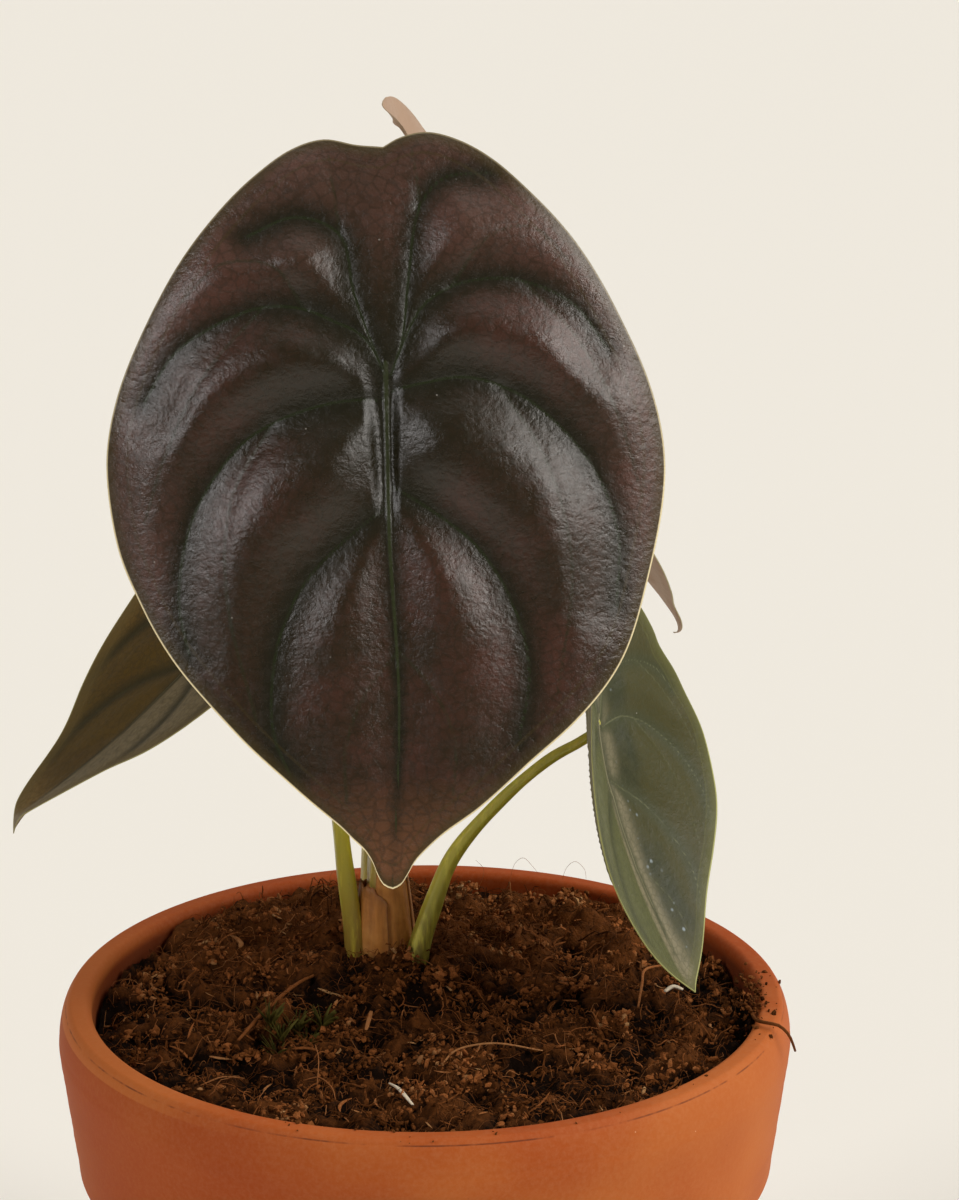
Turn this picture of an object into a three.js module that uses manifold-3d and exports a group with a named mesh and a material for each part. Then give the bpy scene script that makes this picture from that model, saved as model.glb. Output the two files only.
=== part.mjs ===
// A young aroid house plant with quilted copper leaves, in a plain terracotta pot.
// Millimetres, +Z up. The pot stands on z = 0, and the front of the plant looks along -Y.
import * as THREE from 'three';
import { mergeVertices } from 'three/addons/utils/BufferGeometryUtils.js';
import Module from 'manifold-3d';

const wasm = await Module();
wasm.setup();

const seatGap = 0.3;

// The pot is turned about the Z axis. It narrows from the rim down to the base.
const pot = {
  rimHeight: 119.3,
  rimRadius: 70.9,
  rimWall: 6.4,
  shoulderWidth: 2.8,
  shoulderDepth: 8.6,
  collarHeight: 35.7,
  collarBottomRadius: 67.7,
  stepRadius: 61.7,
  baseRadius: 44,
  innerStepRadius: 55.6,
  innerBaseRadius: 38.5,
  floor: 7,
  drainRadius: 8,
  segments: 48,
};

// The potting mix fills the pot and is heaped a little round the crown.
const soil = {
  level: 114,
  lumpHeight: 0.9,
  moundHeight: 5.6,
  moundRadius: 24,
  rings: 14,
  seed: 7,
};

// The crown is the papery foot that the stalks rise from.
const crown = {
  x: -8,
  y: 15.5,
  depth: 108,
  top: 142,
  footRadius: 6.3,
  topRadius: 4.3,
  ribs: 7,
  ribDepth: 0.35,
  sides: 28,
  rings: 6,
};

const bladeThickness = 1.2;

// Each blade lies in its own frame: the stalk meets it at 0, 0, x runs across it to the right,
// y runs up the midrib from the tip to the lobes, and z stands out of its upper face.
// right and left are the margins, from the notch between the lobes down to the tip.
// turn gives the angles in degrees about Z, then X, then Y.
const blades = {
  blade_front: {
    place: [-6.3, -22, 247.7],
    turn: [2.4, 67.8, -2.1],
    length: 138,
    notch: 42.4,
    tip: -92.9,
    right: [[3, 44.2], [8, 45.4], [14, 44], [20.3, 40.3], [28, 32.5], [35.5, 23], [42.3, 11.8],
      [47.6, -0.5], [50.1, -14], [49.6, -26], [46.8, -38], [41.3, -52], [33, -63.5],
      [24, -71.3], [13.5, -79.8], [6.4, -85], [2.8, -89.8]],
    left: [[-4.8, 43], [-11, 44.5], [-17, 42.8], [-24, 37.4], [-32, 28.4], [-39.3, 18.5],
      [-45, 8], [-49, -3], [-51, -15.5], [-49.4, -30], [-44.4, -41], [-36.2, -54.5],
      [-27, -65.5], [-17, -74], [-8, -82.3], [-3.4, -88]],
    arch: 0.0026,
    lobeBend: 0.0034,
    tipBend: 0.0004,
    foldRight: 0,
    foldLeft: 0,
    twist: 0,
    relief: 3.4,
    reliefWidth: 6.5,
    around: 68,
    rings: 13,
    colour: 0x4a3630,
  },
  blade_left: {
    place: [-34.6, 20.2, 193.4],
    turn: [-66.9, 46, -5.9],
    length: 94,
    notch: 18.8,
    tip: -63.8,
    right: [[5.6, 23.4], [11.3, 30], [18.8, 25.8], [25.8, 17.3], [30.9, 6.1], [33.2, -7.5],
      [31.4, -21.5], [25.4, -34.2], [16, -43.6], [7.7, -53.1]],
    left: [[-5.6, 23.4], [-11.3, 30], [-18.8, 25.8], [-26, 17.5], [-31.3, 6.2], [-33.9, -7.6],
      [-31.6, -21.7], [-25.3, -34], [-16.5, -45], [-8.4, -57.5]],
    arch: -0.0003,
    lobeBend: -0.002,
    tipBend: -0.002,
    foldRight: 0,
    foldLeft: 0.26,
    twist: -0.0022,
    relief: 1.3,
    reliefWidth: 4.5,
    around: 40,
    rings: 7,
    colour: 0x3f3423,
  },
  blade_right: {
    place: [34.5, 6.4, 172.4],
    turn: [26.2, 75.4, 44.9],
    length: 79,
    notch: 11.9,
    tip: -54,
    right: [[4.7, 17.5], [9.3, 24.7], [14.9, 20.5], [20.8, 14], [26.1, 5.1], [29.4, -6.6],
      [26.9, -18.5], [21.6, -29.1], [14.6, -39.8], [7.2, -49.5]],
    left: [[-4.8, 17.9], [-9.5, 25.4], [-15.9, 21.9], [-21.9, 14.7], [-26.3, 5.2], [-28.3, -6.4],
      [-26.9, -18.4], [-22, -29.6], [-14.6, -39.7], [-6.9, -47.8]],
    arch: -0.0016,
    lobeBend: -0.0044,
    tipBend: -0.0044,
    foldRight: 0.385,
    foldLeft: 0.247,
    twist: -0.004,
    relief: 1.1,
    reliefWidth: 4,
    around: 40,
    rings: 7,
    colour: 0x5a6048,
  },
  blade_back: {
    place: [10.1, 57, 244.3],
    turn: [116.3, 60.3, -19.2],
    length: 126,
    notch: 29.2,
    tip: -89,
    right: [[6.7, 34.5], [13.3, 42.3], [22.2, 36], [29, 22.8], [35.6, 8], [38.6, -9.9],
      [36.5, -28.5], [29.9, -46.2], [19.4, -61.5], [8.9, -74.8]],
    left: [[-6.7, 34.5], [-13.3, 42.3], [-22.2, 36], [-30.5, 23.8], [-36.7, 8.2], [-39.5, -10.1],
      [-37.4, -29.2], [-30.9, -47.8], [-21.2, -65.8], [-9.9, -80]],
    arch: 0.0006,
    lobeBend: -0.0003,
    tipBend: -0.0003,
    foldRight: 0.25,
    foldLeft: 0.27,
    twist: 0.0009,
    relief: 1.5,
    reliefWidth: 5.5,
    around: 40,
    rings: 7,
    colour: 0x6b5647,
  },
};

// Main veins of the big blade, from the midrib or the stalk outwards, for a blade 138 long.
// The other blades carry the same pattern in proportion.
const veinPatternLength = 138;
const veins = [
  [[0, 2], [0.1, -12], [0.3, -30], [1.6, -60], [0, -92.9]],
  [[0, 0], [-2.5, 6], [-5.5, 15], [-8, 26], [-16, 29.5], [-25, 26]],
  [[1, 0], [3, 6], [4.5, 19], [6.5, 30], [12, 34.5], [21, 33.5]],
  [[0, 0], [-4, 7], [-9.5, 10], [-14.5, 12.2], [-22, 12.8], [-30, 10], [-38.3, 4.7], [-44, -4]],
  [[1, 0], [6.5, 12], [12, 16], [18, 17.4], [25, 17], [34, 12.8], [40, 5]],
  [[0, -4.5], [-9.5, -5], [-20.5, -8.5], [-27, -13], [-35, -25], [-37.8, -40], [-36, -50]],
  [[1, -3], [7.5, -1.5], [14, -0.6], [20.6, -2.2], [27, -5.8], [36.7, -16.3], [41.4, -28.6], [41, -42]],
  [[0, -24], [-6, -28.5], [-15, -37.5], [-20, -48.5], [-21, -64], [-18, -72]],
  [[1, -20.4], [6, -23.5], [16, -31.4], [22.5, -42.5], [25, -54], [23, -66]],
];

// Each stalk runs from its hole in the mix to the underside of its blade, which ends it.
const stems = {
  petiole_front: {
    blade: 'blade_front',
    route: [[-8, 15.5, 103], [-8, 15.5, 128], [-8, 17, 165], [-7, 12, 205], [-6.5, -2, 233]],
    lead: 7,
    footRadius: 2.9,
    topRadius: 1.7,
  },
  petiole_left: {
    blade: 'blade_left',
    route: [[-15.2, 16, 104], [-14.6, 16, 123], [-16, 16, 138], [-18.5, 14.5, 160], [-25, 17, 180]],
    lead: 7,
    footRadius: 1.65,
    topRadius: 1.2,
  },
  petiole_right: {
    blade: 'blade_right',
    route: [[-2.2, 13.2, 104], [-1.7, 13, 121], [1.7, 13, 133.3], [5.4, 12.5, 142.3],
      [14.8, 12, 154.1], [24.2, 11, 162.9], [31.2, 9.2, 167.3]],
    lead: 3,
    footRadius: 1.9,
    topRadius: 1.05,
  },
  petiole_back: {
    blade: 'blade_back',
    route: [[-11, 21.5, 104], [-11, 21.5, 124], [-10, 31, 160], [-8, 44, 200], [-2, 52.5, 232]],
    lead: 7,
    footRadius: 1.8,
    topRadius: 1.3,
  },
};
const stemSides = 10;
const stemSteps = 14;

// Colours as they show in daylight.
const colours = {
  terracotta: 0xb05a32,
  mix: 0x3a2212,
  sheath: 0x6b4222,
  stalk: 0x7f7a2c,
  paleStalk: 0x8d8a58,
};

// A small repeatable random draw between 0 and 1.
function makeRandom(seed) {
  let state = seed;
  return () => {
    state = (state * 16807) % 2147483647;
    return state / 2147483647;
  };
}

// Builds a closed geometry from points and faces.
function meshFrom(points, faces) {
  const geometry = new THREE.BufferGeometry();
  geometry.setAttribute('position', new THREE.Float32BufferAttribute(points.flat(), 3));
  geometry.setIndex(faces.flat());
  return geometry;
}

// Turns a geometry into a solid that can be cut.
function toSolid(geometry, matrix) {
  const bare = geometry.clone();
  bare.deleteAttribute('normal');
  bare.deleteAttribute('uv');
  if (matrix) bare.applyMatrix4(matrix);
  const merged = mergeVertices(bare, 1e-4);
  return new wasm.Manifold(new wasm.Mesh({
    numProp: 3,
    vertProperties: new Float32Array(merged.attributes.position.array),
    triVerts: new Uint32Array(merged.index.array),
  }));
}

// Turns a solid back into a geometry, and keeps only its largest body.
function toGeometry(solid) {
  const bodies = solid.decompose();
  bodies.sort((a, b) => b.volume() - a.volume());
  const mesh = bodies[0].getMesh();
  const geometry = new THREE.BufferGeometry();
  geometry.setAttribute('position', new THREE.BufferAttribute(mesh.vertProperties, 3));
  geometry.setIndex(new THREE.BufferAttribute(mesh.triVerts, 1));
  return geometry;
}

function makeMaterial(colour, roughness) {
  return new THREE.MeshStandardMaterial({ color: colour, roughness, metalness: 0 });
}

// Inside of the pot as radius and height, from the floor up to the rim.
function potInside() {
  const lip = pot.rimRadius - pot.rimWall;
  const collarBottom = pot.rimHeight - pot.collarHeight;
  return [
    [pot.innerBaseRadius, pot.floor],
    [pot.innerStepRadius, collarBottom - 4],
    [lip - 1.5, collarBottom + 6],
    [lip, pot.rimHeight - 0.6],
  ];
}

function makePot() {
  const collarBottom = pot.rimHeight - pot.collarHeight;
  const shoulder = pot.rimHeight - pot.shoulderDepth;
  const outside = [
    [pot.baseRadius - 1.2, 0],
    [pot.baseRadius, 1.2],
    [pot.stepRadius, collarBottom - 1],
    [pot.collarBottomRadius - 2.6, collarBottom],
    [pot.collarBottomRadius - 0.8, collarBottom + 0.9],
    [pot.collarBottomRadius, collarBottom + 3],
    [pot.rimRadius, shoulder],
  ];
  for (let i = 1; i <= 4; i += 1) {
    const angle = (i / 4) * Math.PI / 2;
    outside.push([
      pot.rimRadius + pot.shoulderWidth * (Math.cos(angle) - 1),
      shoulder + pot.shoulderDepth * Math.sin(angle),
    ]);
  }
  const lip = pot.rimRadius - pot.rimWall;
  const profile = [[pot.drainRadius, 0], ...outside, [lip + 0.6, pot.rimHeight]];
  profile.push(...potInside().reverse());
  profile.push([pot.drainRadius, pot.floor], [pot.drainRadius, 0]);
  const line = profile.map(([r, z]) => new THREE.Vector2(r, z));
  const geometry = new THREE.LatheGeometry(line, pot.segments);
  geometry.rotateX(Math.PI / 2);
  return toSolid(geometry);
}

// Height of the mix at x, y.
function soilHeight(x, y) {
  const toCrown = Math.hypot(x - crown.x, y - crown.y) / soil.moundRadius;
  const mound = soil.moundHeight * Math.exp(-toCrown * toCrown);
  const lumps = Math.sin(x * 0.31 + 1.3) * Math.sin(y * 0.27 + 0.4)
    + 0.6 * Math.sin(x * 0.62 - y * 0.45) * Math.cos(y * 0.71 + 2);
  return soil.level + mound + soil.lumpHeight * lumps;
}

// The mix follows the pot's wall at a small gap, and its top is a rough grid of rings.
function makeSoil() {
  const random = makeRandom(soil.seed);
  const wall = potInside().map(([r, z]) => [r - seatGap, z]);
  wall[0][1] += seatGap;
  wall.pop();
  const top = wall[wall.length - 1];
  const [lipRadius, lipHeight] = potInside()[3];
  const slope = (lipRadius - seatGap - top[0]) / (lipHeight - top[1]);
  const points = [[0, 0, wall[0][1]]];
  const faces = [];
  const n = pot.segments;
  const addRing = (radiusAt, heightAt) => {
    const first = points.length;
    for (let i = 0; i < n; i += 1) {
      const angle = (i / n) * Math.PI * 2;
      const r = radiusAt(angle);
      const x = r * Math.cos(angle);
      const y = r * Math.sin(angle);
      points.push([x, y, heightAt(x, y)]);
    }
    return first;
  };
  const joinRings = (low, high) => {
    for (let i = 0; i < n; i += 1) {
      const j = (i + 1) % n;
      faces.push([low + i, low + j, high + j], [low + i, high + j, high + i]);
    }
  };
  const rows = wall.map(([r, z]) => addRing(() => r, () => z));
  const edgeHeight = soil.level - 0.6;
  const edgeRadius = top[0] + slope * (edgeHeight - top[1]);
  rows.push(addRing(() => edgeRadius, () => edgeHeight));
  for (let i = 0; i < n; i += 1) faces.push([0, rows[0] + ((i + 1) % n), rows[0] + i]);
  for (let k = 0; k + 1 < rows.length; k += 1) joinRings(rows[k], rows[k + 1]);
  let outer = rows[rows.length - 1];
  for (let k = soil.rings; k >= 1; k -= 1) {
    const radius = edgeRadius * (k - 0.35) / soil.rings;
    const rough = () => (random() - 0.5) * 2 * soil.lumpHeight;
    const ring = addRing(() => radius, (x, y) => soilHeight(x, y) + rough());
    joinRings(outer, ring);
    outer = ring;
  }
  const middle = points.length;
  points.push([0, 0, soilHeight(0, 0)]);
  for (let i = 0; i < n; i += 1) faces.push([middle, outer + i, outer + ((i + 1) % n)]);
  return toSolid(meshFrom(points, faces));
}

// A ribbed foot with flat ends. extra makes it fatter, for the hole that it stands in.
function makeCrown(extra) {
  const points = [];
  const faces = [];
  const n = crown.sides;
  for (let k = 0; k <= crown.rings; k += 1) {
    const t = k / crown.rings;
    const belly = 0.5 * Math.sin(t * Math.PI);
    const radius = crown.footRadius + (crown.topRadius - crown.footRadius) * t + belly + extra;
    for (let i = 0; i < n; i += 1) {
      const angle = (i / n) * Math.PI * 2;
      const r = radius + crown.ribDepth * Math.cos(crown.ribs * angle + t);
      const z = crown.depth - extra + (crown.top - crown.depth + 2 * extra) * t;
      points.push([crown.x + r * Math.cos(angle), crown.y + r * Math.sin(angle), z]);
    }
  }
  for (let k = 0; k < crown.rings; k += 1) {
    for (let i = 0; i < n; i += 1) {
      const a = k * n + i;
      const b = k * n + ((i + 1) % n);
      faces.push([a, b, b + n], [a, b + n, a + n]);
    }
  }
  const last = crown.rings * n;
  for (let i = 1; i + 1 < n; i += 1) {
    faces.push([0, i + 1, i], [last, last + i, last + i + 1]);
  }
  return toSolid(meshFrom(points, faces));
}

// A tapered stalk through its route, ended inside the blade so that the blade's face trims it.
function makeStem(stem, matrix, extra) {
  const end = new THREE.Vector3(0, 0, -bladeThickness * 0.5);
  const lead = new THREE.Vector3(0, 0, -stem.lead);
  const knots = stem.route.map((p) => new THREE.Vector3(...p));
  knots.push(lead.applyMatrix4(matrix), end.applyMatrix4(matrix));
  const curve = new THREE.CatmullRomCurve3(knots, false, 'centripetal');
  const frames = curve.computeFrenetFrames(stemSteps, false);
  const points = [];
  const faces = [];
  for (let k = 0; k <= stemSteps; k += 1) {
    const t = k / stemSteps;
    const centre = curve.getPointAt(t);
    const radius = stem.footRadius + (stem.topRadius - stem.footRadius) * t + extra;
    for (let i = 0; i < stemSides; i += 1) {
      const angle = (i / stemSides) * Math.PI * 2;
      const p = centre.clone();
      p.addScaledVector(frames.normals[k], radius * Math.cos(angle));
      p.addScaledVector(frames.binormals[k], radius * Math.sin(angle));
      points.push(p.toArray());
    }
  }
  for (let k = 0; k < stemSteps; k += 1) {
    for (let i = 0; i < stemSides; i += 1) {
      const a = k * stemSides + i;
      const b = k * stemSides + ((i + 1) % stemSides);
      faces.push([a, b, b + stemSides], [a, b + stemSides, a + stemSides]);
    }
  }
  const last = stemSteps * stemSides;
  for (let i = 1; i + 1 < stemSides; i += 1) {
    faces.push([0, i + 1, i], [last, last + i, last + i + 1]);
  }
  return toSolid(meshFrom(points, faces));
}

// The margin as evenly spaced points, with sharp corners at the notch and the tip.
function bladeOutline(blade) {
  const sides = [blade.right, [...blade.left].reverse()];
  const ends = [[0, blade.notch], [0, blade.tip]];
  const outline = [];
  sides.forEach((side, s) => {
    const line = [ends[s], ...side, ends[1 - s]].map(([x, y]) => new THREE.Vector3(x, y, 0));
    const curve = new THREE.CatmullRomCurve3(line, false, 'centripetal');
    const count = blade.around / 2;
    for (let i = 0; i < count; i += 1) outline.push(curve.getPointAt(i / count));
  });
  return outline;
}

// Vein lines scaled to the blade, each as short straight steps.
function bladeVeins(blade) {
  const scale = blade.length / veinPatternLength;
  return veins.map((vein) => {
    const line = vein.map(([x, y]) => new THREE.Vector3(x * scale, y * scale, 0));
    return new THREE.CatmullRomCurve3(line, false, 'centripetal').getSpacedPoints(16);
  });
}

// Distance from x, y to the nearest vein.
function veinDistance(lines, x, y) {
  let nearest = Infinity;
  lines.forEach((line) => {
    for (let i = 0; i + 1 < line.length; i += 1) {
      const a = line[i];
      const b = line[i + 1];
      const dx = b.x - a.x;
      const dy = b.y - a.y;
      const along = ((x - a.x) * dx + (y - a.y) * dy) / (dx * dx + dy * dy);
      const t = Math.min(1, Math.max(0, along));
      nearest = Math.min(nearest, Math.hypot(x - a.x - t * dx, y - a.y - t * dy));
    }
  });
  return nearest;
}

// Height of the upper face over the blade's own x, y plane. edge is 0 in the middle, 1 at the margin.
function bladeHeight(blade, lines, x, y, edge) {
  const soft = 0.07 * blade.length;
  const fold = (x > 0 ? blade.foldRight : blade.foldLeft) * (Math.hypot(x, soft) - soft);
  const bend = (y > 0 ? blade.lobeBend : blade.tipBend) * y * y;
  const form = fold - bend - blade.arch * x * x + blade.twist * x * y;
  const quilt = 1 - Math.exp(-((veinDistance(lines, x, y) / blade.reliefWidth) ** 2));
  const fade = 1 - edge ** 4;
  return form + blade.relief * (quilt - 0.75) * fade;
}

// Both faces share one pattern of triangles, and extra makes the blade fatter for trimming.
function makeBlade(blade, extra) {
  const outline = bladeOutline(blade);
  const lines = bladeVeins(blade);
  const n = outline.length;
  const upper = [[0, 0, bladeHeight(blade, lines, 0, 0, 0)]];
  for (let k = 1; k <= blade.rings; k += 1) {
    const edge = k / blade.rings;
    outline.forEach((p) => {
      const height = bladeHeight(blade, lines, p.x * edge, p.y * edge, edge);
      upper.push([p.x * edge, p.y * edge, height]);
    });
  }
  const lower = upper.map(([x, y, z]) => [x, y, z - bladeThickness - extra]);
  const points = upper.map(([x, y, z]) => [x, y, z + extra]).concat(lower);
  const under = upper.length;
  const faces = [];
  const addFace = (a, b, c) => {
    faces.push([a, b, c], [under + a, under + c, under + b]);
  };
  for (let i = 0; i < n; i += 1) {
    const j = (i + 1) % n;
    addFace(0, 1 + j, 1 + i);
    for (let k = 0; k + 1 < blade.rings; k += 1) {
      const a = 1 + k * n;
      addFace(a + i, a + j, a + n + j);
      addFace(a + i, a + n + j, a + n + i);
    }
    const rim = 1 + (blade.rings - 1) * n;
    faces.push([rim + i, rim + j, under + rim + j], [rim + i, under + rim + j, under + rim + i]);
  }
  return meshFrom(points, faces);
}

const plant = new THREE.Group();
const half = Math.PI / 180;
const fat = {};

for (const [name, blade] of Object.entries(blades)) {
  const mesh = new THREE.Mesh(makeBlade(blade, 0), makeMaterial(blade.colour, 0.35));
  mesh.name = name;
  mesh.position.set(...blade.place);
  const [aboutZ, aboutX, aboutY] = blade.turn;
  mesh.rotation.set(aboutX * half, aboutY * half, aboutZ * half, 'ZXY');
  mesh.updateMatrixWorld();
  fat[name] = toSolid(makeBlade(blade, seatGap), mesh.matrixWorld);
  plant.add(mesh);
}

let soilSolid = makeSoil();
let crownSolid = makeCrown(0);
soilSolid = soilSolid.subtract(makeCrown(seatGap));

for (const [name, stem] of Object.entries(stems)) {
  const bladeMesh = plant.getObjectByName(stem.blade);
  const solid = makeStem(stem, bladeMesh.matrixWorld, 0).subtract(fat[stem.blade]);
  const wider = makeStem(stem, bladeMesh.matrixWorld, seatGap);
  crownSolid = crownSolid.subtract(wider);
  soilSolid = soilSolid.subtract(wider);
  const colour = name === 'petiole_back' ? colours.paleStalk : colours.stalk;
  const mesh = new THREE.Mesh(toGeometry(solid), makeMaterial(colour, 0.5));
  mesh.name = name;
  plant.add(mesh);
}

const fixed = [
  ['pot', makePot(), makeMaterial(colours.terracotta, 0.85)],
  ['soil', soilSolid, makeMaterial(colours.mix, 1)],
  ['crown_sheath', crownSolid, makeMaterial(colours.sheath, 0.8)],
];
for (const [name, solid, material] of fixed) {
  const mesh = new THREE.Mesh(toGeometry(solid), material);
  mesh.name = name;
  plant.add(mesh);
}

// The origin is under the middle of the whole plant, on the surface that the pot stands on.
const middle = new THREE.Box3().setFromObject(plant, true).getCenter(new THREE.Vector3());
plant.position.set(-middle.x, -middle.y, 0);

export default plant;
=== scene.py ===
import math

import bmesh
import bpy
import numpy as np
from mathutils import Euler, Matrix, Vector, noise


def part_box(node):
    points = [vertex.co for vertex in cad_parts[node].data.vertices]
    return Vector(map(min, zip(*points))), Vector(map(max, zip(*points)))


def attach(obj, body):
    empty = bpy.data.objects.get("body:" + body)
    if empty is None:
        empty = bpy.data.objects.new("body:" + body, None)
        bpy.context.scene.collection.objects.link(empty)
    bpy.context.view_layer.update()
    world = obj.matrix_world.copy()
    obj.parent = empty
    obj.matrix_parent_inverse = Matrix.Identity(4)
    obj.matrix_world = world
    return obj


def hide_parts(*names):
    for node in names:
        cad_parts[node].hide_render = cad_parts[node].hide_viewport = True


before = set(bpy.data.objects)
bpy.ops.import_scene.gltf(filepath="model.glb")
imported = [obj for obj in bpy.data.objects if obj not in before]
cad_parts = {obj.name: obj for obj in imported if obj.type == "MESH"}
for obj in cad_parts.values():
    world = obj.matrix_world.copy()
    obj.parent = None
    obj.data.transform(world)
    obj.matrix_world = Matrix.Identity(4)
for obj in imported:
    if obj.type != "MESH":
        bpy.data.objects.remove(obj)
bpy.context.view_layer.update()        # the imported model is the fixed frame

# Everything below is worked out in millimetres from the pot's axis, then put in place by toFrame.
potLow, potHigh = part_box("pot")
potAxis = np.array([(potLow[0] + potHigh[0]) / 2, (potLow[1] + potHigh[1]) / 2, 0.0])
rimHeight = potHigh[2] * 1000
rimRadius = (potHigh[0] - potLow[0]) * 500


def toFrame(points):
    return np.asarray(points, float) * 0.001 + potAxis


def smoothLine(points, count, perSpan=24):
    # an even walk along a rounded line through the points
    knots = np.asarray(points, float)
    knots = np.vstack([2 * knots[0] - knots[1], knots, 2 * knots[-1] - knots[-2]])
    dense = []
    for p0, p1, p2, p3 in zip(knots, knots[1:], knots[2:], knots[3:]):
        t1 = np.linalg.norm(p1 - p0) ** 0.5
        t2 = t1 + np.linalg.norm(p2 - p1) ** 0.5
        t3 = t2 + np.linalg.norm(p3 - p2) ** 0.5
        t = np.linspace(t1, t2, perSpan, endpoint=False)[:, None]
        a1 = (t1 - t) / t1 * p0 + t / t1 * p1
        a2 = (t2 - t) / (t2 - t1) * p1 + (t - t1) / (t2 - t1) * p2
        a3 = (t3 - t) / (t3 - t2) * p2 + (t - t2) / (t3 - t2) * p3
        b1 = (t2 - t) / t2 * a1 + t / t2 * a2
        b2 = (t3 - t) / (t3 - t1) * a2 + (t - t1) / (t3 - t1) * a3
        dense.append((t2 - t) / (t2 - t1) * b1 + (t - t1) / (t2 - t1) * b2)
    dense.append(knots[-2][None])
    line = np.vstack(dense)
    along = np.concatenate([[0], np.cumsum(np.linalg.norm(np.diff(line, axis=0), axis=1))])
    wanted = np.linspace(0, along[-1], count)
    return np.stack([np.interp(wanted, along, line[:, k]) for k in range(line.shape[1])], axis=1)


def turns(count):
    return np.arange(count) / count * 2 * math.pi


def ring(radius, angle, height):
    # points at these angles round an upright axis
    return np.stack([radius * np.cos(angle), radius * np.sin(angle), height + 0 * angle], axis=1)


def ringFaces(rows, around, start=0):
    # quads between rings of points that close round on themselves
    row = np.arange(rows - 1)[:, None] * around + start
    here = np.arange(around)[None]
    there = (here + 1) % around
    quads = np.stack([row + here, row + there, row + around + there, row + around + here], axis=-1)
    return quads.reshape(-1, 4).tolist()


def seamFaces(first, second, around):
    # quads that join one ring to another
    faces = []
    for i in range(around):
        j = (i + 1) % around
        faces.append([first + i, first + j, second + j, second + i])
    return faces


def makeObject(name, points, faces, material, values=None, smooth=True):
    mesh = bpy.data.meshes.new(name)
    mesh.from_pydata(toFrame(points).tolist(), [], faces)
    mesh.polygons.foreach_set("use_smooth", [smooth] * len(mesh.polygons))
    for key, numbers in (values or {}).items():
        layer = mesh.attributes.new(key, "FLOAT", "POINT")
        layer.data.foreach_set("value", np.asarray(numbers, np.float32))
    mesh.materials.append(material)
    mesh.update()
    thing = bpy.data.objects.new(name, mesh)
    bpy.context.scene.collection.objects.link(thing)
    return thing


def fractal(points, size, octaves=4, seed=0.0):
    # smooth noise of about the given size in millimetres, from -1 to 1
    shift = Vector((seed, seed * 1.7, -seed))
    return np.array([noise.fractal(Vector(p) / size + shift, 1.0, 2.0, octaves) for p in points])


# Materials

class Skin:
    # a material in the making: each colour is laid over the ones before it

    def __init__(self, name, colour=None):
        self.material = bpy.data.materials.new(name)
        self.material.use_nodes = True
        self.nodes = self.material.node_tree.nodes
        self.colour = colour

    def put(self, value, socket):
        # another node's output is linked, a number or a colour is set
        if isinstance(value, bpy.types.NodeSocket):
            self.material.node_tree.links.new(value, socket)
        elif isinstance(value, (int, float)):
            socket.default_value = value
        else:
            socket.default_value = (*value, 1.0)

    def read(self, key):
        node = self.nodes.new("ShaderNodeAttribute")
        node.attribute_name = key
        return node.outputs["Fac"]

    def fade(self, value, low, high, start=0.0, end=1.0):
        node = self.nodes.new("ShaderNodeMapRange")
        node.interpolation_type = "SMOOTHSTEP"
        node.inputs["From Min"].default_value = low
        node.inputs["From Max"].default_value = high
        node.inputs["To Min"].default_value = start
        node.inputs["To Max"].default_value = end
        self.put(value, node.inputs["Value"])
        return node.outputs["Result"]

    def calculate(self, operation, first, second):
        node = self.nodes.new("ShaderNodeMath")
        node.operation = operation
        self.put(first, node.inputs[0])
        self.put(second, node.inputs[1])
        return node.outputs["Value"]

    def plus(self, first, second):
        return self.calculate("ADD", first, second)

    def times(self, first, second):
        return self.calculate("MULTIPLY", first, second)

    def away(self, value, middle):
        # how far the value lies from the middle, to either side
        return self.calculate("ABSOLUTE", self.calculate("SUBTRACT", value, middle), 0.0)

    def blend(self, share, first, second):
        node = self.nodes.new("ShaderNodeMixRGB")
        for socket, value in zip(node.inputs, (share, first, second)):
            self.put(value, socket)
        return node.outputs["Color"]

    def lay(self, share, colour):
        self.colour = self.blend(share, self.colour, colour)

    def spots(self, size, detail=3.0, roughness=0.55, stretch=(1, 1, 1), distortion=0.0):
        # cloudy noise whose patches are about size millimetres wide
        place = self.nodes.new("ShaderNodeTexCoord")
        scale = self.nodes.new("ShaderNodeMapping")
        scale.inputs["Scale"].default_value = stretch
        self.put(place.outputs["Object"], scale.inputs["Vector"])
        node = self.nodes.new("ShaderNodeTexNoise")
        node.inputs["Scale"].default_value = 1000 / size
        node.inputs["Detail"].default_value = detail
        node.inputs["Roughness"].default_value = roughness
        node.inputs["Distortion"].default_value = distortion
        self.put(scale.outputs["Vector"], node.inputs["Vector"])
        return node.outputs["Fac"]

    def cells(self, size, feature="F1"):
        place = self.nodes.new("ShaderNodeTexCoord")
        node = self.nodes.new("ShaderNodeTexVoronoi")
        node.feature = feature
        node.inputs["Scale"].default_value = 1000 / size
        self.put(place.outputs["Object"], node.inputs["Vector"])
        return node.outputs["Distance"]

    def finish(self, sockets, layers=()):
        # layers are (height, depth in millimetres), coarse first
        shader = self.nodes["Principled BSDF"]
        for name, value in {"Base Color": self.colour, **sockets}.items():
            self.put(value, shader.inputs[name])
        normal = None
        for height, depth in layers:
            node = self.nodes.new("ShaderNodeBump")
            node.inputs["Distance"].default_value = depth * 0.001
            self.put(height, node.inputs["Height"])
            if normal is not None:
                self.put(normal, node.inputs["Normal"])
            normal = node.outputs["Normal"]
        if normal is not None:
            self.put(normal, shader.inputs["Normal"])
        return self.material


# Camera, at the photo's height and angle

camera = {
    "place": (10.6, -692.1, 406.8),       # in front of the pot's axis
    "tiltDown": 16.76,
    "lens": 115.1,
    "sensor": 36.0,
}


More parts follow.
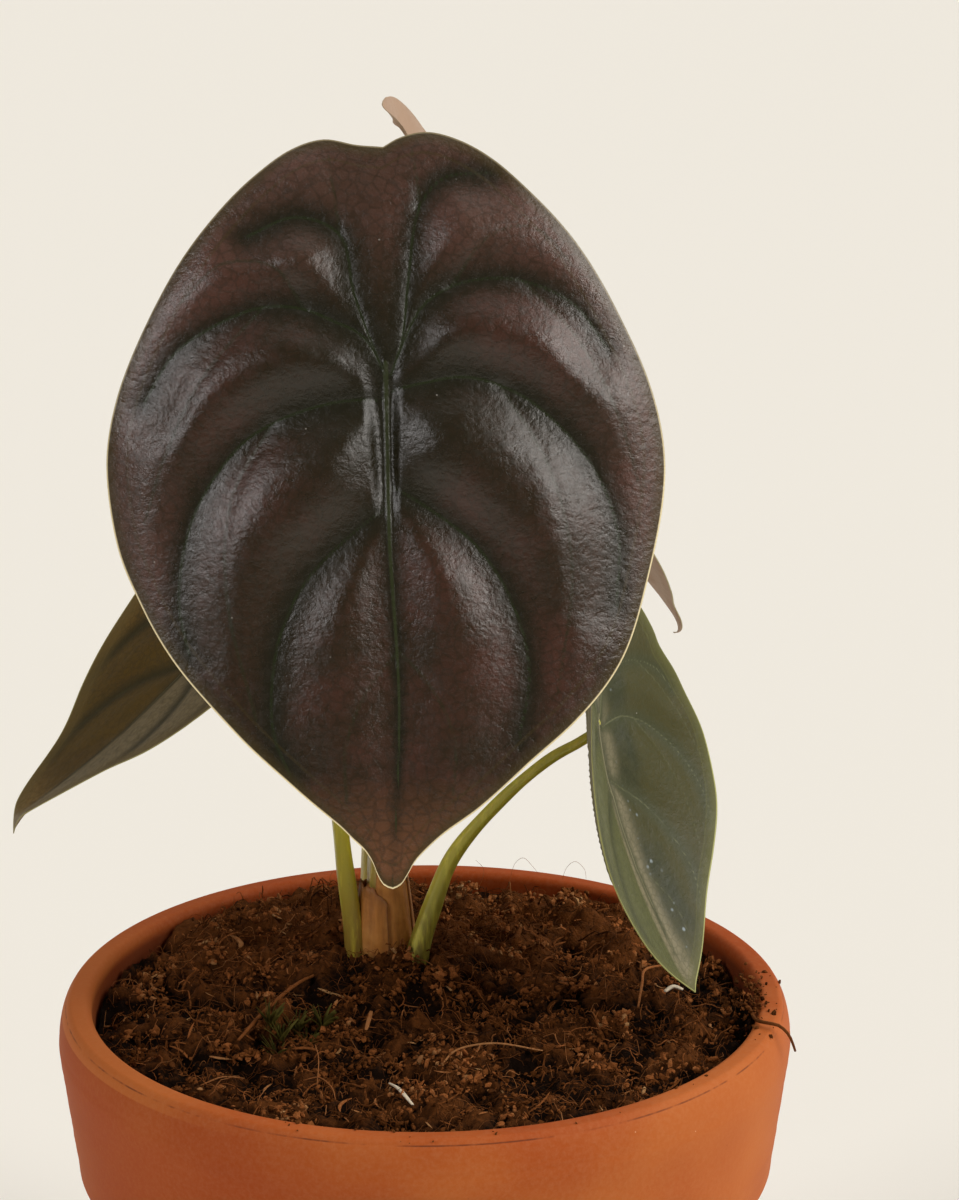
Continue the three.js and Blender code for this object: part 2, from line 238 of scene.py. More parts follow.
def makeCamera(look):
    data = bpy.data.cameras.new("camera")
    data.sensor_fit = "VERTICAL"
    data.sensor_height = look["sensor"]
    data.lens = look["lens"]
    data.clip_start = 0.05
    data.clip_end = 30
    thing = bpy.data.objects.new("camera", data)
    thing.location = toFrame(look["place"])
    thing.rotation_euler = (math.radians(90 - look["tiltDown"]), 0, 0)
    bpy.context.scene.collection.objects.link(thing)
    bpy.context.scene.camera = thing


makeCamera(camera)
print("camera placed")

# Studio

studio = {
    "floorColour": (0.872, 0.849, 0.786),
    "floorSize": 14.0,
    "skyColour": (1.0, 0.97, 0.93),
    "skyStrength": 0.165,
    "lights": [
        # name, degrees right of the front, degrees up, apparent width in degrees, strength, colour
        ("windowRight", 54, 33, 17, 0.85, (1.0, 0.955, 0.91)),
        ("sideRight", 88, 37, 46, 1.95, (1.0, 0.965, 0.92)),
        ("windowLeft", -58, 31, 20, 0.85, (1.0, 0.97, 0.97)),
        ("ceilingBack", 170, 62, 70, 0.62, (1.0, 0.98, 0.95)),
    ],
}


def makeStudio(look):
    side = look["floorSize"] / 2
    corners = [(-side, -side, 0), (side, -side, 0), (side, side, 0), (-side, side, 0)]
    mesh = bpy.data.meshes.new("floor")
    mesh.from_pydata(corners, [], [(0, 1, 2, 3)])
    floor = bpy.data.objects.new("floor", mesh)
    bpy.context.scene.collection.objects.link(floor)
    paper = Skin("floorPaper", look["floorColour"])
    mesh.materials.append(paper.finish({"Roughness": 0.9, "Specular IOR Level": 0.1}))
    sky = bpy.data.worlds.new("sky")
    sky.use_nodes = True
    glow = sky.node_tree.nodes["Background"]
    glow.inputs["Color"].default_value = (*look["skyColour"], 1)
    glow.inputs["Strength"].default_value = look["skyStrength"]
    bpy.context.scene.world = sky
    for name, aside, up, width, strength, colour in look["lights"]:
        data = bpy.data.lights.new(name, "SUN")
        data.angle = math.radians(width)
        data.energy = strength
        data.color = colour
        lamp = bpy.data.objects.new(name, data)
        lamp.rotation_euler = (math.radians(90 - up), 0, math.radians(aside))
        bpy.context.scene.collection.objects.link(lamp)
    view = bpy.context.scene.view_settings
    view.view_transform = "Standard"
    view.look = "None"


makeStudio(studio)
print("studio lit")

# Pot, turned terracotta

pot = {
    "collarHeight": 35.7,
    "collarBottomRadius": 67.7,
    "stepRadius": 61.7,
    "baseRadius": 44.0,
    "rimWall": 6.4,
    "shoulderWidth": 2.8,
    "shoulderDepth": 8.6,
    "turnLine": 1.1,        # the turner's line lies this far below the top of the rim
    "innerStepRadius": 55.6,
    "innerBaseRadius": 38.5,
    "floor": 7.0,
    "drainRadius": 8.0,
    "wobble": 0.12,
    # a side is (degrees round from the right, half width in degrees)
    "shadedSides": [(153.0, 34.0), (12.0, 34.0)],     # painted shade: the inner wall is darkest here
    "litSide": (-30.0, 48.0),                      # painted light: the outside is palest here
    "windowSide": (192.0, 30.0),                    # and painted light on the rim here
    "around": 264,
    "clay": (0.36, 0.060, 0.0055),
    # the clay's own paler clouds, also used for painted light on the side and rim toward the lights
    "paleClayAndLight": (0.48, 0.125, 0.022),
    "darkClay": (0.29, 0.043, 0.004),
    "dust": (0.70, 0.42, 0.24),
    "speck": (0.10, 0.03, 0.012),
    # painted shade under the collar
    "crease": (0.10, 0.025, 0.010),
    "hairline": (0.12, 0.028, 0.010),
    # painted shade inside the pot
    "insideShade": (0.070, 0.015, 0.005),
}


def arc(cx, cz, radius, fromAngle, toAngle, count):
    angles = np.radians(np.linspace(fromAngle, toAngle, count))
    return [(cx + radius * math.cos(a), cz + radius * math.sin(a)) for a in angles]


def steps(first, last, count):
    return [tuple(p) for p in np.linspace(first, last, count, endpoint=False)]


def potProfile(look):
    # radius and height, up the outside, over the rim and down the inside to the drain hole
    top = rimHeight
    low = top - look["collarHeight"]
    lip = rimRadius - look["rimWall"]
    wide = look["shoulderWidth"]
    deep = look["shoulderDepth"]
    foot = look["baseRadius"]
    floor = look["floor"]
    drain = look["drainRadius"]
    innerStep = (look["innerStepRadius"], low - 4)
    line = [(drain + 0.8, 0)]
    line += arc(foot - 1.6, 1.6, 1.6, -90, -10, 5)
    line += steps((foot + 0.1, 3), (look["stepRadius"], low - 1.4), 26)
    line += [(look["stepRadius"] + 0.15, low - 0.5), (look["stepRadius"] + 0.9, low - 0.1)]
    line += arc(look["collarBottomRadius"] - 2.6, low + 2.6, 2.6, -88, -4, 8)
    line += steps((look["collarBottomRadius"] + 0.05, low + 3.4), (rimRadius, top - deep), 18)
    for angle in np.radians(np.linspace(0, 88, 34)):
        height = top - deep + deep * math.sin(angle)
        crease = 0.06 * math.exp(-((top - look["turnLine"] - height) / 0.22) ** 2)
        line.append((rimRadius - wide + wide * math.cos(angle) - crease, height))
    line += arc(lip + 1.7, top - 1.7, 1.7, 90, 176, 9)
    line += steps((lip - 0.1, top - 3), (lip - 1.5, low + 6), 6)
    line += steps((lip - 1.5, low + 6), innerStep, 5)
    line += steps(innerStep, (look["innerBaseRadius"], floor), 8)
    line += [(look["innerBaseRadius"] - 2, floor)]
    line += [(drain + 0.6, floor), (drain, floor - 0.8), (drain, 0.8)]
    return np.array(line)


def clayMaterial(look):
    skin = Skin("terracotta", look["clay"])
    cloud = skin.spots(70)
    band = skin.spots(26, stretch=(0.25, 0.25, 2.6))
    grain = skin.spots(0.9, 5, 0.7)
    pores = skin.cells(2.3)
    # the clay's own paler clouds, with painted light added toward the lights
    pale = skin.plus(cloud, skin.times(skin.read("paintedLight"), 0.3))
    skin.lay(skin.fade(pale, 0.46, 0.80), look["paleClayAndLight"])
    skin.lay(skin.fade(band, 0.5, 0.75, 0.0, 0.3), look["darkClay"])
    skin.lay(skin.fade(grain, 0.3, 0.8, 0.0, 0.10), look["dust"])
    speck = skin.fade(pores, 0.03, 0.07, 0.7, 0.0)
    thin = skin.fade(skin.spots(15, 2), 0.58, 0.70)
    skin.lay(skin.times(speck, thin), look["speck"])
    skin.lay(skin.fade(skin.cells(6.5), 0.016, 0.034, 0.8, 0.0), look["dust"])
    # painted shade in the corner under the collar
    skin.lay(skin.times(skin.read("crease"), 0.75), look["crease"])
    hair = skin.fade(skin.away(skin.read("lineGap"), 0.0), 0.05, 0.19, 1.0, 0.0)
    broken = skin.fade(skin.spots(11, 4, 0.7), 0.42, 0.62, 0.0, 0.8)
    skin.lay(skin.times(hair, broken), look["hairline"])
    # painted shade on the inner wall below the rim
    skin.lay(skin.times(skin.read("inside"), 0.94), look["insideShade"])
    rough = skin.fade(grain, 0.2, 0.8, 0.58, 0.76)
    layers = [(band, 0.25), (grain, 0.05), (pores, 0.02)]
    return skin.finish({"Roughness": rough, "Specular IOR Level": 0.16}, layers)


def nearSide(turned, side):
    # 1 at the middle of a side of the pot, falling to 0 away from it
    middle, wide = side
    return np.exp(-(((turned - middle + 180) % 360 - 180) / wide) ** 2)


def makePot(look):
    line = potProfile(look)
    around = look["around"]
    angle = turns(around)
    points = []
    for radius, height in line:
        wobble = look["wobble"] * np.sin(2 * angle + height * 0.02) * min(1.0, height / 20)
        ripple = 0.03 * math.sin(height * 2.1) + 0.03 * math.sin(height * 0.83)
        onWall = 5 < height < rimHeight - 6
        points.append(ring(radius + wobble + (ripple if onWall else 0), angle, height))
    points = np.vstack(points)
    radius = np.repeat(line[:, 0], around)
    height = np.repeat(line[:, 1], around)
    faces = ringFaces(len(line), around) + seamFaces((len(line) - 1) * around, 0, around)
    lineGap = np.where(radius > rimRadius - 3, height - rimHeight + look["turnLine"], 9.0)
    collarLow = rimHeight - look["collarHeight"]
    # painted shade in the corner under the collar
    crease = 0.5 * np.exp(-((height - collarLow + 0.8) / 0.9) ** 2) * (radius < 63)
    pastRim = np.repeat(np.arange(len(line)) > line[:, 1].argmax(), around)
    # painted shade inside the pot, deepening below the rim and strongest at the shaded sides
    inside = np.clip((rimHeight - 1.4 - height) / 2.2, 0, 1) * pastRim * (height > look["floor"])
    turned = np.tile(np.degrees(angle), len(line))
    insideShade = sum(nearSide(turned, side) for side in look["shadedSides"])
    inside = inside * (0.2 + 0.78 * np.clip(insideShade, 0, 1))
    # painted light on the outside toward the right-hand lights and on the rim toward the left one
    litRim = 1.6 * nearSide(turned, look["windowSide"]) * (height > rimHeight - 2.6)
    paintedLight = nearSide(turned, look["litSide"]) + litRim
    values = {"crease": crease, "inside": inside, "lineGap": lineGap, "paintedLight": paintedLight}
    thing = makeObject("potTurned", points, faces, clayMaterial(look), values)
    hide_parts("pot")
    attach(thing, "root")


makePot(pot)
print("pot turned")

# Potting mix: a rough bed, crumbs, bark flakes and coir fibres

mix = {
    "level": 114.0,
    "swellHeight": 0.9,     # slow swells, also where the finer lumps are left out
    "moundHeight": 8.4,
    "moundRadius": 20.0,
    "moundX": -10.0,
    "moundY": 13.0,
    "bank": 3.0,            # the mix climbs this much at the back, and more at its left
    "leftBank": 2.0,
    "lumps": [(12, 2.6, 2.0), (5.2, 2.4, 6.5), (1.9, 1.2, 9.0)],    # size, height, noise seed
    "bedRadius": 63.4,
    "bedRings": 104,
    "bedAround": 300,
    "clods": 640,
    "grains": 3400,
    "fibres": 2700,
    "flakes": 300,
    "rimBits": 30,          # crumbs on the rim, this far in from its edge and between these degrees
    "rimMiddle": 3.6,
    "rimFrom": -112.0,
    "rimTo": 12.0,
    "heap": 150,            # more of them lie heaped at the right
    "heapMiddle": (63.9, -3.0),
    "heapSpread": (1.7, 6.0),
    "skirt": [(62.9, 106), (56.0, 81), (38.2, 7.3), (2.0, 7.3)],    # radius and height, below the bed
    "seed": 11,
    "darkest": (0.007, 0.0024, 0.0005),
    "brown": (0.135, 0.043, 0.0090),
    "rust": (0.32, 0.108, 0.030),
    "straw": (0.42, 0.24, 0.10),
    "white": (0.72, 0.62, 0.46),
}


def mixHeight(x, y):
    # the mound round the crown, with slow swells
    gap = np.hypot(x - mix["moundX"], y - mix["moundY"]) / mix["moundRadius"]
    mound = mix["moundHeight"] * np.exp(-gap * gap)
    swell = np.sin(x * 0.31 + 1.3) * np.sin(y * 0.27 + 0.4)
    swell = swell + 0.6 * np.sin(x * 0.62 - y * 0.45) * np.cos(y * 0.71 + 2)
    return mix["level"] + mound + mix["swellHeight"] * swell


def bedHeight(x, y):
    # mixHeight with its bank and lumps, for a list of places
    flat = np.stack([x, y, np.zeros_like(x)], axis=1)
    bank = mix["bank"] + mix["leftBank"] * np.exp(-((x + 35) / 20) ** 2)
    bank = bank * np.clip((y - 2) / 45, 0, 1)
    height = mixHeight(x, y) + bank
    for size, rise, seed in mix["lumps"]:
        height = height + rise * fractal(flat, size, 3, seed)
    edge = np.clip((np.hypot(x, y) - 55) / 8, 0, 1)
    return height - 1.2 * edge


def mixMaterial(name, look, tone, rough=0.9):
    # dark, brown, rust, straw and white lie along one scale, and every bit has a tone of its own on it; in
    # the bed and the clods that tone also holds painted light on rises and painted shade in hollows
    skin = Skin(name)
    cloud = skin.spots(1.6, 5, 0.75)
    ramp = skin.nodes.new("ShaderNodeValToRGB")
    stops = ramp.color_ramp.elements
    stops[0].position = 0.20
    stops[0].color = (*look["darkest"], 1)
    stops[1].position = 1.0
    stops[1].color = (*look["white"], 1)
    for position, colour in ((0.46, look["brown"]), (0.70, look["rust"]), (0.92, look["straw"])):
        stop = stops.new(position)
        stop.color = (*colour, 1)
    skin.put(skin.plus(skin.read("tone"), skin.times(cloud, tone)), ramp.inputs["Fac"])
    skin.colour = ramp.outputs["Color"]
    layers = [(cloud, 0.7), (skin.spots(0.6), 0.3)]
    return skin.finish({"Roughness": rough, "Specular IOR Level": 0.08}, layers)


def settle(thing):
    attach(thing, "root")


def makeBed(look):
    around = look["bedAround"]
    radii = look["bedRadius"] * np.linspace(0.004, 1, look["bedRings"]) ** 0.8
    angle = turns(around)
    x = np.outer(radii, np.cos(angle)).ravel()
    y = np.outer(radii, np.sin(angle)).ravel()
    z = bedHeight(x, y)
    # a skirt closes the bed down inside the pot
    skirt = [ring(radius, angle, height) for radius, height in look["skirt"]]
    points = np.vstack([np.stack([x, y, z], 1)] + skirt)
    rows = look["bedRings"] + len(skirt)
    faces = [face[::-1] for face in ringFaces(rows, around)]
    faces.append(list(range(around)))
    faces.append(list(range((rows - 1) * around, rows * around))[::-1])
    tone = np.zeros(len(points))
    # painted light on the rises of the bed and painted shade in its hollows
    tone[:len(x)] = 0.09 * np.clip(z - mixHeight(x, y), -2.0, 2.0)
    thing = makeObject("mixBed", points, faces, mixMaterial("mixBed", look, 0.45), {"tone": tone})
    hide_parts("soil")
    settle(thing)


def scatterPlaces(random, count, reach):
    radius = reach * np.sqrt(random.random(count))
    angle = random.random(count) * 2 * math.pi
    return radius * np.cos(angle), radius * np.sin(angle)


def shardCloud(name, look, random, centres, sizes, tones):
    # broken bits, each one bent out of round, squashed and turned its own way
    ball = bmesh.new()
    bmesh.ops.create_icosphere(ball, subdivisions=1, radius=1)
    shape = np.array([v.co[:] for v in ball.verts])
    corners = np.array([[v.index for v in f.verts] for f in ball.faces])
    ball.free()
    count = len(centres)
    lumps = 1 + 0.42 * (random.random((count, len(shape), 1)) - 0.5) * 2
    width = 0.3 + 0.7 * random.random(count)
    depth = 0.25 + 0.5 * random.random(count)
    squash = np.stack([np.ones(count), width, depth], 1)
    body = shape[None] * lumps * squash[:, None] * np.asarray(sizes)[:, None, None]
    q = random.normal(size=(count, 4))
    w, a, b, c = (q / np.linalg.norm(q, axis=1)[:, None]).T
    turn = np.array([[1 - 2 * (b * b + c * c), 2 * (a * b - c * w), 2 * (a * c + b * w)],
                     [2 * (a * b + c * w), 1 - 2 * (a * a + c * c), 2 * (b * c - a * w)],
                     [2 * (a * c - b * w), 2 * (b * c + a * w), 1 - 2 * (a * a + b * b)]])
    body = np.einsum("nvk,jkn->nvj", body, turn) + np.asarray(centres)[:, None]
    faces = corners[None] + np.arange(count)[:, None, None] * len(shape)
    values = {"tone": np.repeat(tones, len(shape))}
    material = mixMaterial(name, look, 0.5)
    triangles = faces.reshape(-1, 3).tolist()
    settle(makeObject(name, body.reshape(-1, 3), triangles, material, values, smooth=False))


def makeCrumbs(look):
    # shards heaped together into crumbly clods
    random = np.random.default_rng(look["seed"] + 1)
    x, y = scatterPlaces(random, look["clods"], look["bedRadius"] - 2)
    ground = bedHeight(x, y)
    centres = []
    sizes = []
    tones = []
    for i in range(look["clods"]):
        reach = 0.9 + 3.2 * random.random() ** 2
        count = int(4 + reach * reach * 1.9)
        away = reach * np.sqrt(random.random(count))
        angle = random.random(count) * 2 * math.pi
        rise = 0.5 * np.sqrt(np.maximum(0, reach ** 2 - away ** 2)) * random.random(count) ** 0.4
        cx = x[i] + away * np.cos(angle)
        cy = y[i] + away * np.sin(angle)
        shrink = np.minimum(1, (look["bedRadius"] - 0.9) / np.hypot(cx, cy))
        centres.append(np.stack([cx * shrink, cy * shrink, ground[i] + rise - 0.2], 1))
        sizes.append(0.26 + 0.78 * random.random(count) ** 2.4)
        lit = 0.055 * np.clip(ground[i] - mixHeight(x[i], y[i]) + rise, -3, 3)
        tones.append(0.03 + 0.24 * random.random() + 0.22 * random.random(count) ** 2 + lit)
    cloud = (np.vstack(centres), np.concatenate(sizes), np.concatenate(tones))
    shardCloud("mixCrumbs", look, random, *cloud)


def makeGrains(look):
    # loose fine bits over everything, and a few on the rim
    random = np.random.default_rng(look["seed"] + 2)
    x, y = scatterPlaces(random, look["grains"], look["bedRadius"] - 0.6)
    sizes = 0.22 + 0.5 * random.random(look["grains"]) ** 2.5
    centres = np.stack([x, y, bedHeight(x, y) + sizes * 0.5], 1)
    tones = 0.02 + 0.32 * random.random(look["grains"]) ** 2
    count = look["rimBits"]
    middle = rimRadius - look["rimMiddle"]
    turn = np.radians(look["rimFrom"] + (look["rimTo"] - look["rimFrom"]) * random.random(count) ** 1.2)
    away = middle + (random.random(count) - 0.5) * 4.4
    rimSizes = 0.16 + 0.42 * random.random(count) ** 3
    fall = 0.22 * np.maximum(0, away - middle - 0.6) ** 2
    rim = np.stack([away * np.cos(turn), away * np.sin(turn), rimHeight - fall + 0.3 * rimSizes], 1)
    heapX = look["heapMiddle"][0] + look["heapSpread"][0] * random.normal(size=look["heap"])
    heapY = look["heapMiddle"][1] + look["heapSpread"][1] * random.normal(size=look["heap"])
    heapZ = rimHeight - 0.6 + 1.1 * random.random(look["heap"])
    reach = np.maximum(1, np.hypot(heapX, heapY) / (rimRadius - 2.4))
    heap = np.stack([heapX / reach, heapY / reach, heapZ], 1)
    heapSizes = 0.22 + 0.5 * random.random(look["heap"]) ** 2
    allTones = np.concatenate([tones, np.full(count, 0.2), 0.05 + 0.3 * random.random(look["heap"])])
    allSizes = np.concatenate([sizes, rimSizes, heapSizes])
    shardCloud("mixGrains", look, random, np.vstack([centres, rim, heap]), allSizes, allTones)


def tubePoints(line, radii, sides, flat=1.0):
    # rings of points round a line, without twist
    line = np.asarray(line, float)
    tangent = np.gradient(line, axis=0)
    tangent /= np.linalg.norm(tangent, axis=1)[:, None]
    side = np.cross(tangent[0], [0.3, 0.2, 0.95])
    side /= np.linalg.norm(side)
    rings = []
    angle = turns(sides)
    for centre, along, radius in zip(line, tangent, radii):
        side = side - along * side.dot(along)
        side /= np.linalg.norm(side)
        up = np.cross(along, side)
        wide = np.outer(np.cos(angle), side) * radius
        deep = np.outer(np.sin(angle), up) * radius * flat
        rings.append(centre + (wide + deep))
    return np.vstack(rings)


def tubeFaces(rows, sides, start=0):
    faces = ringFaces(rows, sides, start)
    end = start + (rows - 1) * sides
    faces.append(list(range(start, start + sides))[::-1])
    faces.append(list(range(end, end + sides)))
    return faces


def strandsObject(name, strands, sides, material):
    # strands are (line, radii, tone, flatness)
    points = []
    faces = []
    tones = []
    count = 0
    for line, radii, tone, flat in strands:
        rings = tubePoints(line, radii, sides, flat)
        faces += tubeFaces(len(line), sides, count)
        points.append(rings)
        tones.append(np.full(len(rings), tone))
        count += len(rings)
    return makeObject(name, np.vstack(points), faces, material, {"tone": np.concatenate(tones)})


def makeFibres(look):
    # thin coir fibres, some curling up out of the mix
    random = np.random.default_rng(look["seed"])
    strands = []
    knots = 8
    rows = 8
    count = look["fibres"]
    x, y = scatterPlaces(random, count, look["bedRadius"] - 2)
    length = 1.6 + 10 * random.random(count) ** 2.6
    headings = random.random((count, 1)) * 6.28
    headings = headings + np.cumsum((random.random((count, knots)) - 0.5) * 1.3, 1)
    px = x[:, None] + np.cumsum(np.cos(headings), 1) * length[:, None] / knots
    py = y[:, None] + np.cumsum(np.sin(headings), 1) * length[:, None] / knots
    reach = np.maximum(1, np.hypot(px, py) / (look["bedRadius"] - 1))
    px = px / reach
    py = py / reach
    ground = bedHeight(px.ravel(), py.ravel()).reshape(px.shape)
    arch = np.sin(np.linspace(0, math.pi, knots))
    lift = 0.9 + 2.2 * random.random((count, 1)) ** 2 * arch
    lift = lift + 3.2 * random.random((count, 1)) ** 7 * np.linspace(0, 1, knots)
    level = 0.6 * ground + 0.4 * ground.mean(axis=1, keepdims=True)
    for i in range(count):
        line = smoothLine(np.stack([px[i], py[i], level[i] + lift[i]], 1), rows, 4)
        thick = 0.07 + 0.17 * random.random() ** 3
        tone = 0.16 + 0.46 * random.random() ** 1.8
        strands.append((line, thick * np.linspace(1, 0.5, rows), tone, 0.8))
    settle(strandsObject("coirFibres", strands, 3, mixMaterial("coir", look, 0.3, 0.85)))


def makeFlakes(look):
    # flat slivers of bark and husk
    random = np.random.default_rng(look["seed"] + 5)
    strands = []
    x, y = scatterPlaces(random, look["flakes"], look["bedRadius"] - 4)
    middle = bedHeight(x, y)
    for i in range(look["flakes"]):
        length = 1.8 + 5.5 * random.random() ** 2
        heading = random.random() * 6.28
        t = np.linspace(-0.5, 0.5, 7)
        bow = (random.random() - 0.5) * 0.4 * length
        px = x[i] + np.cos(heading) * t * length - np.sin(heading) * bow * (4 * t * t)
        py = y[i] + np.sin(heading) * t * length + np.cos(heading) * bow * (4 * t * t)
        tilt = (random.random() - 0.4) * 0.9
        line = np.stack([px, py, middle[i] + 0.8 + t * length * tilt], 1)
        wide = 0.22 + 0.6 * random.random() ** 2.5
        radii = wide * np.array([0.3, 0.8, 1, 0.9, 1, 0.75, 0.25]) * (1 + 0.3 * (random.random(7) - 0.5))
        strands.append((line, radii, 0.16 + 0.5 * random.random() ** 1.3, 0.3))
    settle(strandsObject("barkFlakes", strands, 6, mixMaterial("bark", look, 0.42, 0.88)))


# Single bits that the eye finds in the mix. Each is (places from the pot's axis, half thickness,
# tone, flatness), in millimetres.

singles = {
    "whiteSliver": ([(-5.9, -39.2, 116.9), (-4.2, -42.8, 117.4), (-1.6, -47.6, 116.4)], 0.55, 2.2, 0.45),
    "tanSliver": ([(-10.1, -12, 119.8), (-10.9, -20, 119.4)], 0.42, 0.64, 0.4),
    "brownStalk": ([(-35.2, -19.5, 117), (-30.5, -9, 118.8), (-24.4, 2.1, 120), (-20.7, 6.7, 120)],
                   0.42, 0.42, 0.8),
    "paleRoot": ([(-20.2, -27.5, 119.6), (-19.4, -32, 118.8), (-19.4, -39.6, 116.6)], 0.10, 0.62, 1.0),
    "paleRootBend": ([(-22, -38, 117), (-19, -39, 118), (-16.5, -42, 117.2), (-15.8, -44.5, 116)],
                     0.12, 0.6, 1.0),
    "strawLeft": ([(-41, -38, 116), (-37, -36.5, 117.0), (-33, -36.2, 116.6)], 0.15, 0.62, 1.0),
    "strawRight": ([(3.6, -29.5, 116.4), (6.2, -25, 117.4), (13, -23.6, 118.2), (22.5, -25.2, 117.4)],
                   0.24, 0.66, 0.6),
    "rootByLeaf": ([(41.4, -2, 116.4), (42.4, 5, 118.4), (43.4, 12, 118.6), (48, 17, 117.6)],
                   0.28, 0.6, 1.0),
    "rimRoot": ([(60.5, -1, 117), (62.3, -6.7, 118.6), (63.4, -16.4, 119.8), (65.3, -19.1, 120.4),
                 (67.3, -19.9, 120.2), (69.0, -20.8, 118.9), (69.9, -20.5, 116.9), (70.5, -19.9, 115.0)],
                0.34, 0.34, 1.0),
    "hairBackA": ([(16.6, 61, 117), (18, 61.8, 122), (19.9, 60, 124), (21.6, 59, 122.6), (23.3, 61, 119.6)],
                  0.035, 0.62, 1.0),
    "hairBackB": ([(27.4, 59, 117), (28.7, 60, 121.6), (30.5, 59, 123.6), (32.5, 60.5, 121.4),
                   (33, 62, 118.6)], 0.035, 0.62, 1.0),
    "hairBackC": ([(10, 60, 116), (11.5, 61, 121), (9.8, 61.5, 123)], 0.04, 0.6, 1.0),
    "paleHusk": ([(46.8, 4.2, 117.2), (48.6, 5.2, 117.8), (50.4, 4.6, 117.4)], 0.55, 0.9, 0.6),
}


def makeSingles(look):
    strands = []
    rows = 26
    for route, thick, tone, flat in singles.values():
        line = smoothLine(route, rows)
        radii = thick * (0.35 + 0.65 * np.sin(np.linspace(0.35, 2.95, rows)) ** 0.5)
        strands.append((line, radii, tone, flat))
    settle(strandsObject("looseRoots", strands, 8, mixMaterial("roots", look, 0.25, 0.7)))


# A few green sprouts come up left of the middle

sprouts = {
    "places": [(-29.7, -12.4), (-27.4, -15.3), (-24.6, -11.7), (-22.4, -13.6), (-28.0, -18.4),
               (-19.6, -10.3)],
    "perPlace": 16,
    "height": 5.2,
    "width": 0.62,
    "lean": 7.0,
    "colour": (0.038, 0.033, 0.004),
    "tipColour": (0.090, 0.076, 0.012),
    "seed": 4,
}


def makeSprouts(look):
    # tufts of short blades that lean every way
    random = np.random.default_rng(look["seed"])
    strands = []
    for x, y in look["places"]:
        ground = bedHeight(np.array([x]), np.array([y]))[0]
        for k in range(look["perPlace"]):
            lean = (random.random(2) - 0.5) * look["lean"]
            height = look["height"] * (0.55 + 0.5 * random.random())
            t = np.linspace(0, 1, 9)
            bend = t ** 1.6
            line = np.stack([x + lean[0] * bend, y + lean[1] * bend, ground - 0.6 + height * t], 1)
            wide = look["width"] * (0.35 + 0.5 * random.random())
            strands.append((line, wide * np.sin(0.25 + 2.75 * t) + 0.08, random.random(), 0.25))
    skin = Skin("sprout", look["colour"])
    patch = skin.spots(1.4, 4)
    skin.lay(skin.fade(skin.plus(skin.read("tone"), patch), 0.5, 1.3), look["tipColour"])
    material = skin.finish({"Roughness": 0.75, "Specular IOR Level": 0.15}, [(patch, 0.3)])
    settle(strandsObject("greenSprouts", strands, 8, material))


makeBed(mix)
makeCrumbs(mix)
makeGrains(mix)
makeFibres(mix)
makeFlakes(mix)
makeSingles(mix)
makeSprouts(sprouts)
print("potting mix filled in")

# Blades. Each lies in its own frame: the stalk meets it at 0, 0, x runs across, y runs up the
# midrib and z stands out of the upper face. turn is in degrees about Z, then X, then Y.

veinLayout = {
    "length": 138.0,
    "midrib": [(0, 2), (0.1, -12), (0.3, -30), (1.6, -60), (0, -92.9)],
    "laterals": [
        [(0, 0), (-2.5, 6), (-5.5, 15), (-8, 26), (-16, 29.5), (-25, 26)],
        [(1, 0), (3, 6), (4.5, 19), (6.5, 31), (11, 36.5), (19.5, 37.5)],
        [(0, 0), (-4, 7), (-9.5, 10), (-14.5, 12.2), (-22, 12.8), (-30, 10), (-38.3, 4.7), (-44, -4)],
        [(1, 0), (6.5, 12), (12, 16), (18, 17.4), (25, 17), (34, 12.8), (40, 5)],
        [(0, -4.5), (-9.5, -5), (-20.5, -8.5), (-27, -13), (-35, -25), (-37.8, -40), (-36, -50)],
        [(1, -3), (7.5, -1.5), (14, -0.6), (20.6, -2.2), (27, -5.8), (36.7, -16.3), (41.4, -28.6), (41, -42)],
        [(0, -24), (-6, -28.5), (-15, -37.5), (-20, -48.5), (-21, -64), (-18, -72)],
        [(1, -20.4), (6, -23.5), (16, -31.4), (22.5, -42.5), (25, -54), (23, -66)],
    ],
    "fine": [
        [(1.6, -50), (-4, -57), (-8, -67), (-8, -77)],
        [(1.6, -50), (7, -56), (11.5, -66), (11, -76)],
        [(-8, 26), (-9, 34), (-10, 41)],
        [(6.5, 31), (6, 37), (5, 43)],
        [(-20.5, -8.5), (-28, -22), (-29, -40), (-24, -62)],
        [(20.6, -2.2), (29, -17), (33, -35), (30, -58)],
        [(-22, 12.8), (-33, 0), (-40, -14), (-44, -26)],
        [(25, 17), (35, 6), (42, -8), (46, -22)],
        [(-14.5, 12.2), (-20, 20), (-29, 21), (-37, 14)],
        [(12, 16), (19, 25), (27, 27), (34, 20)],
    ],
}

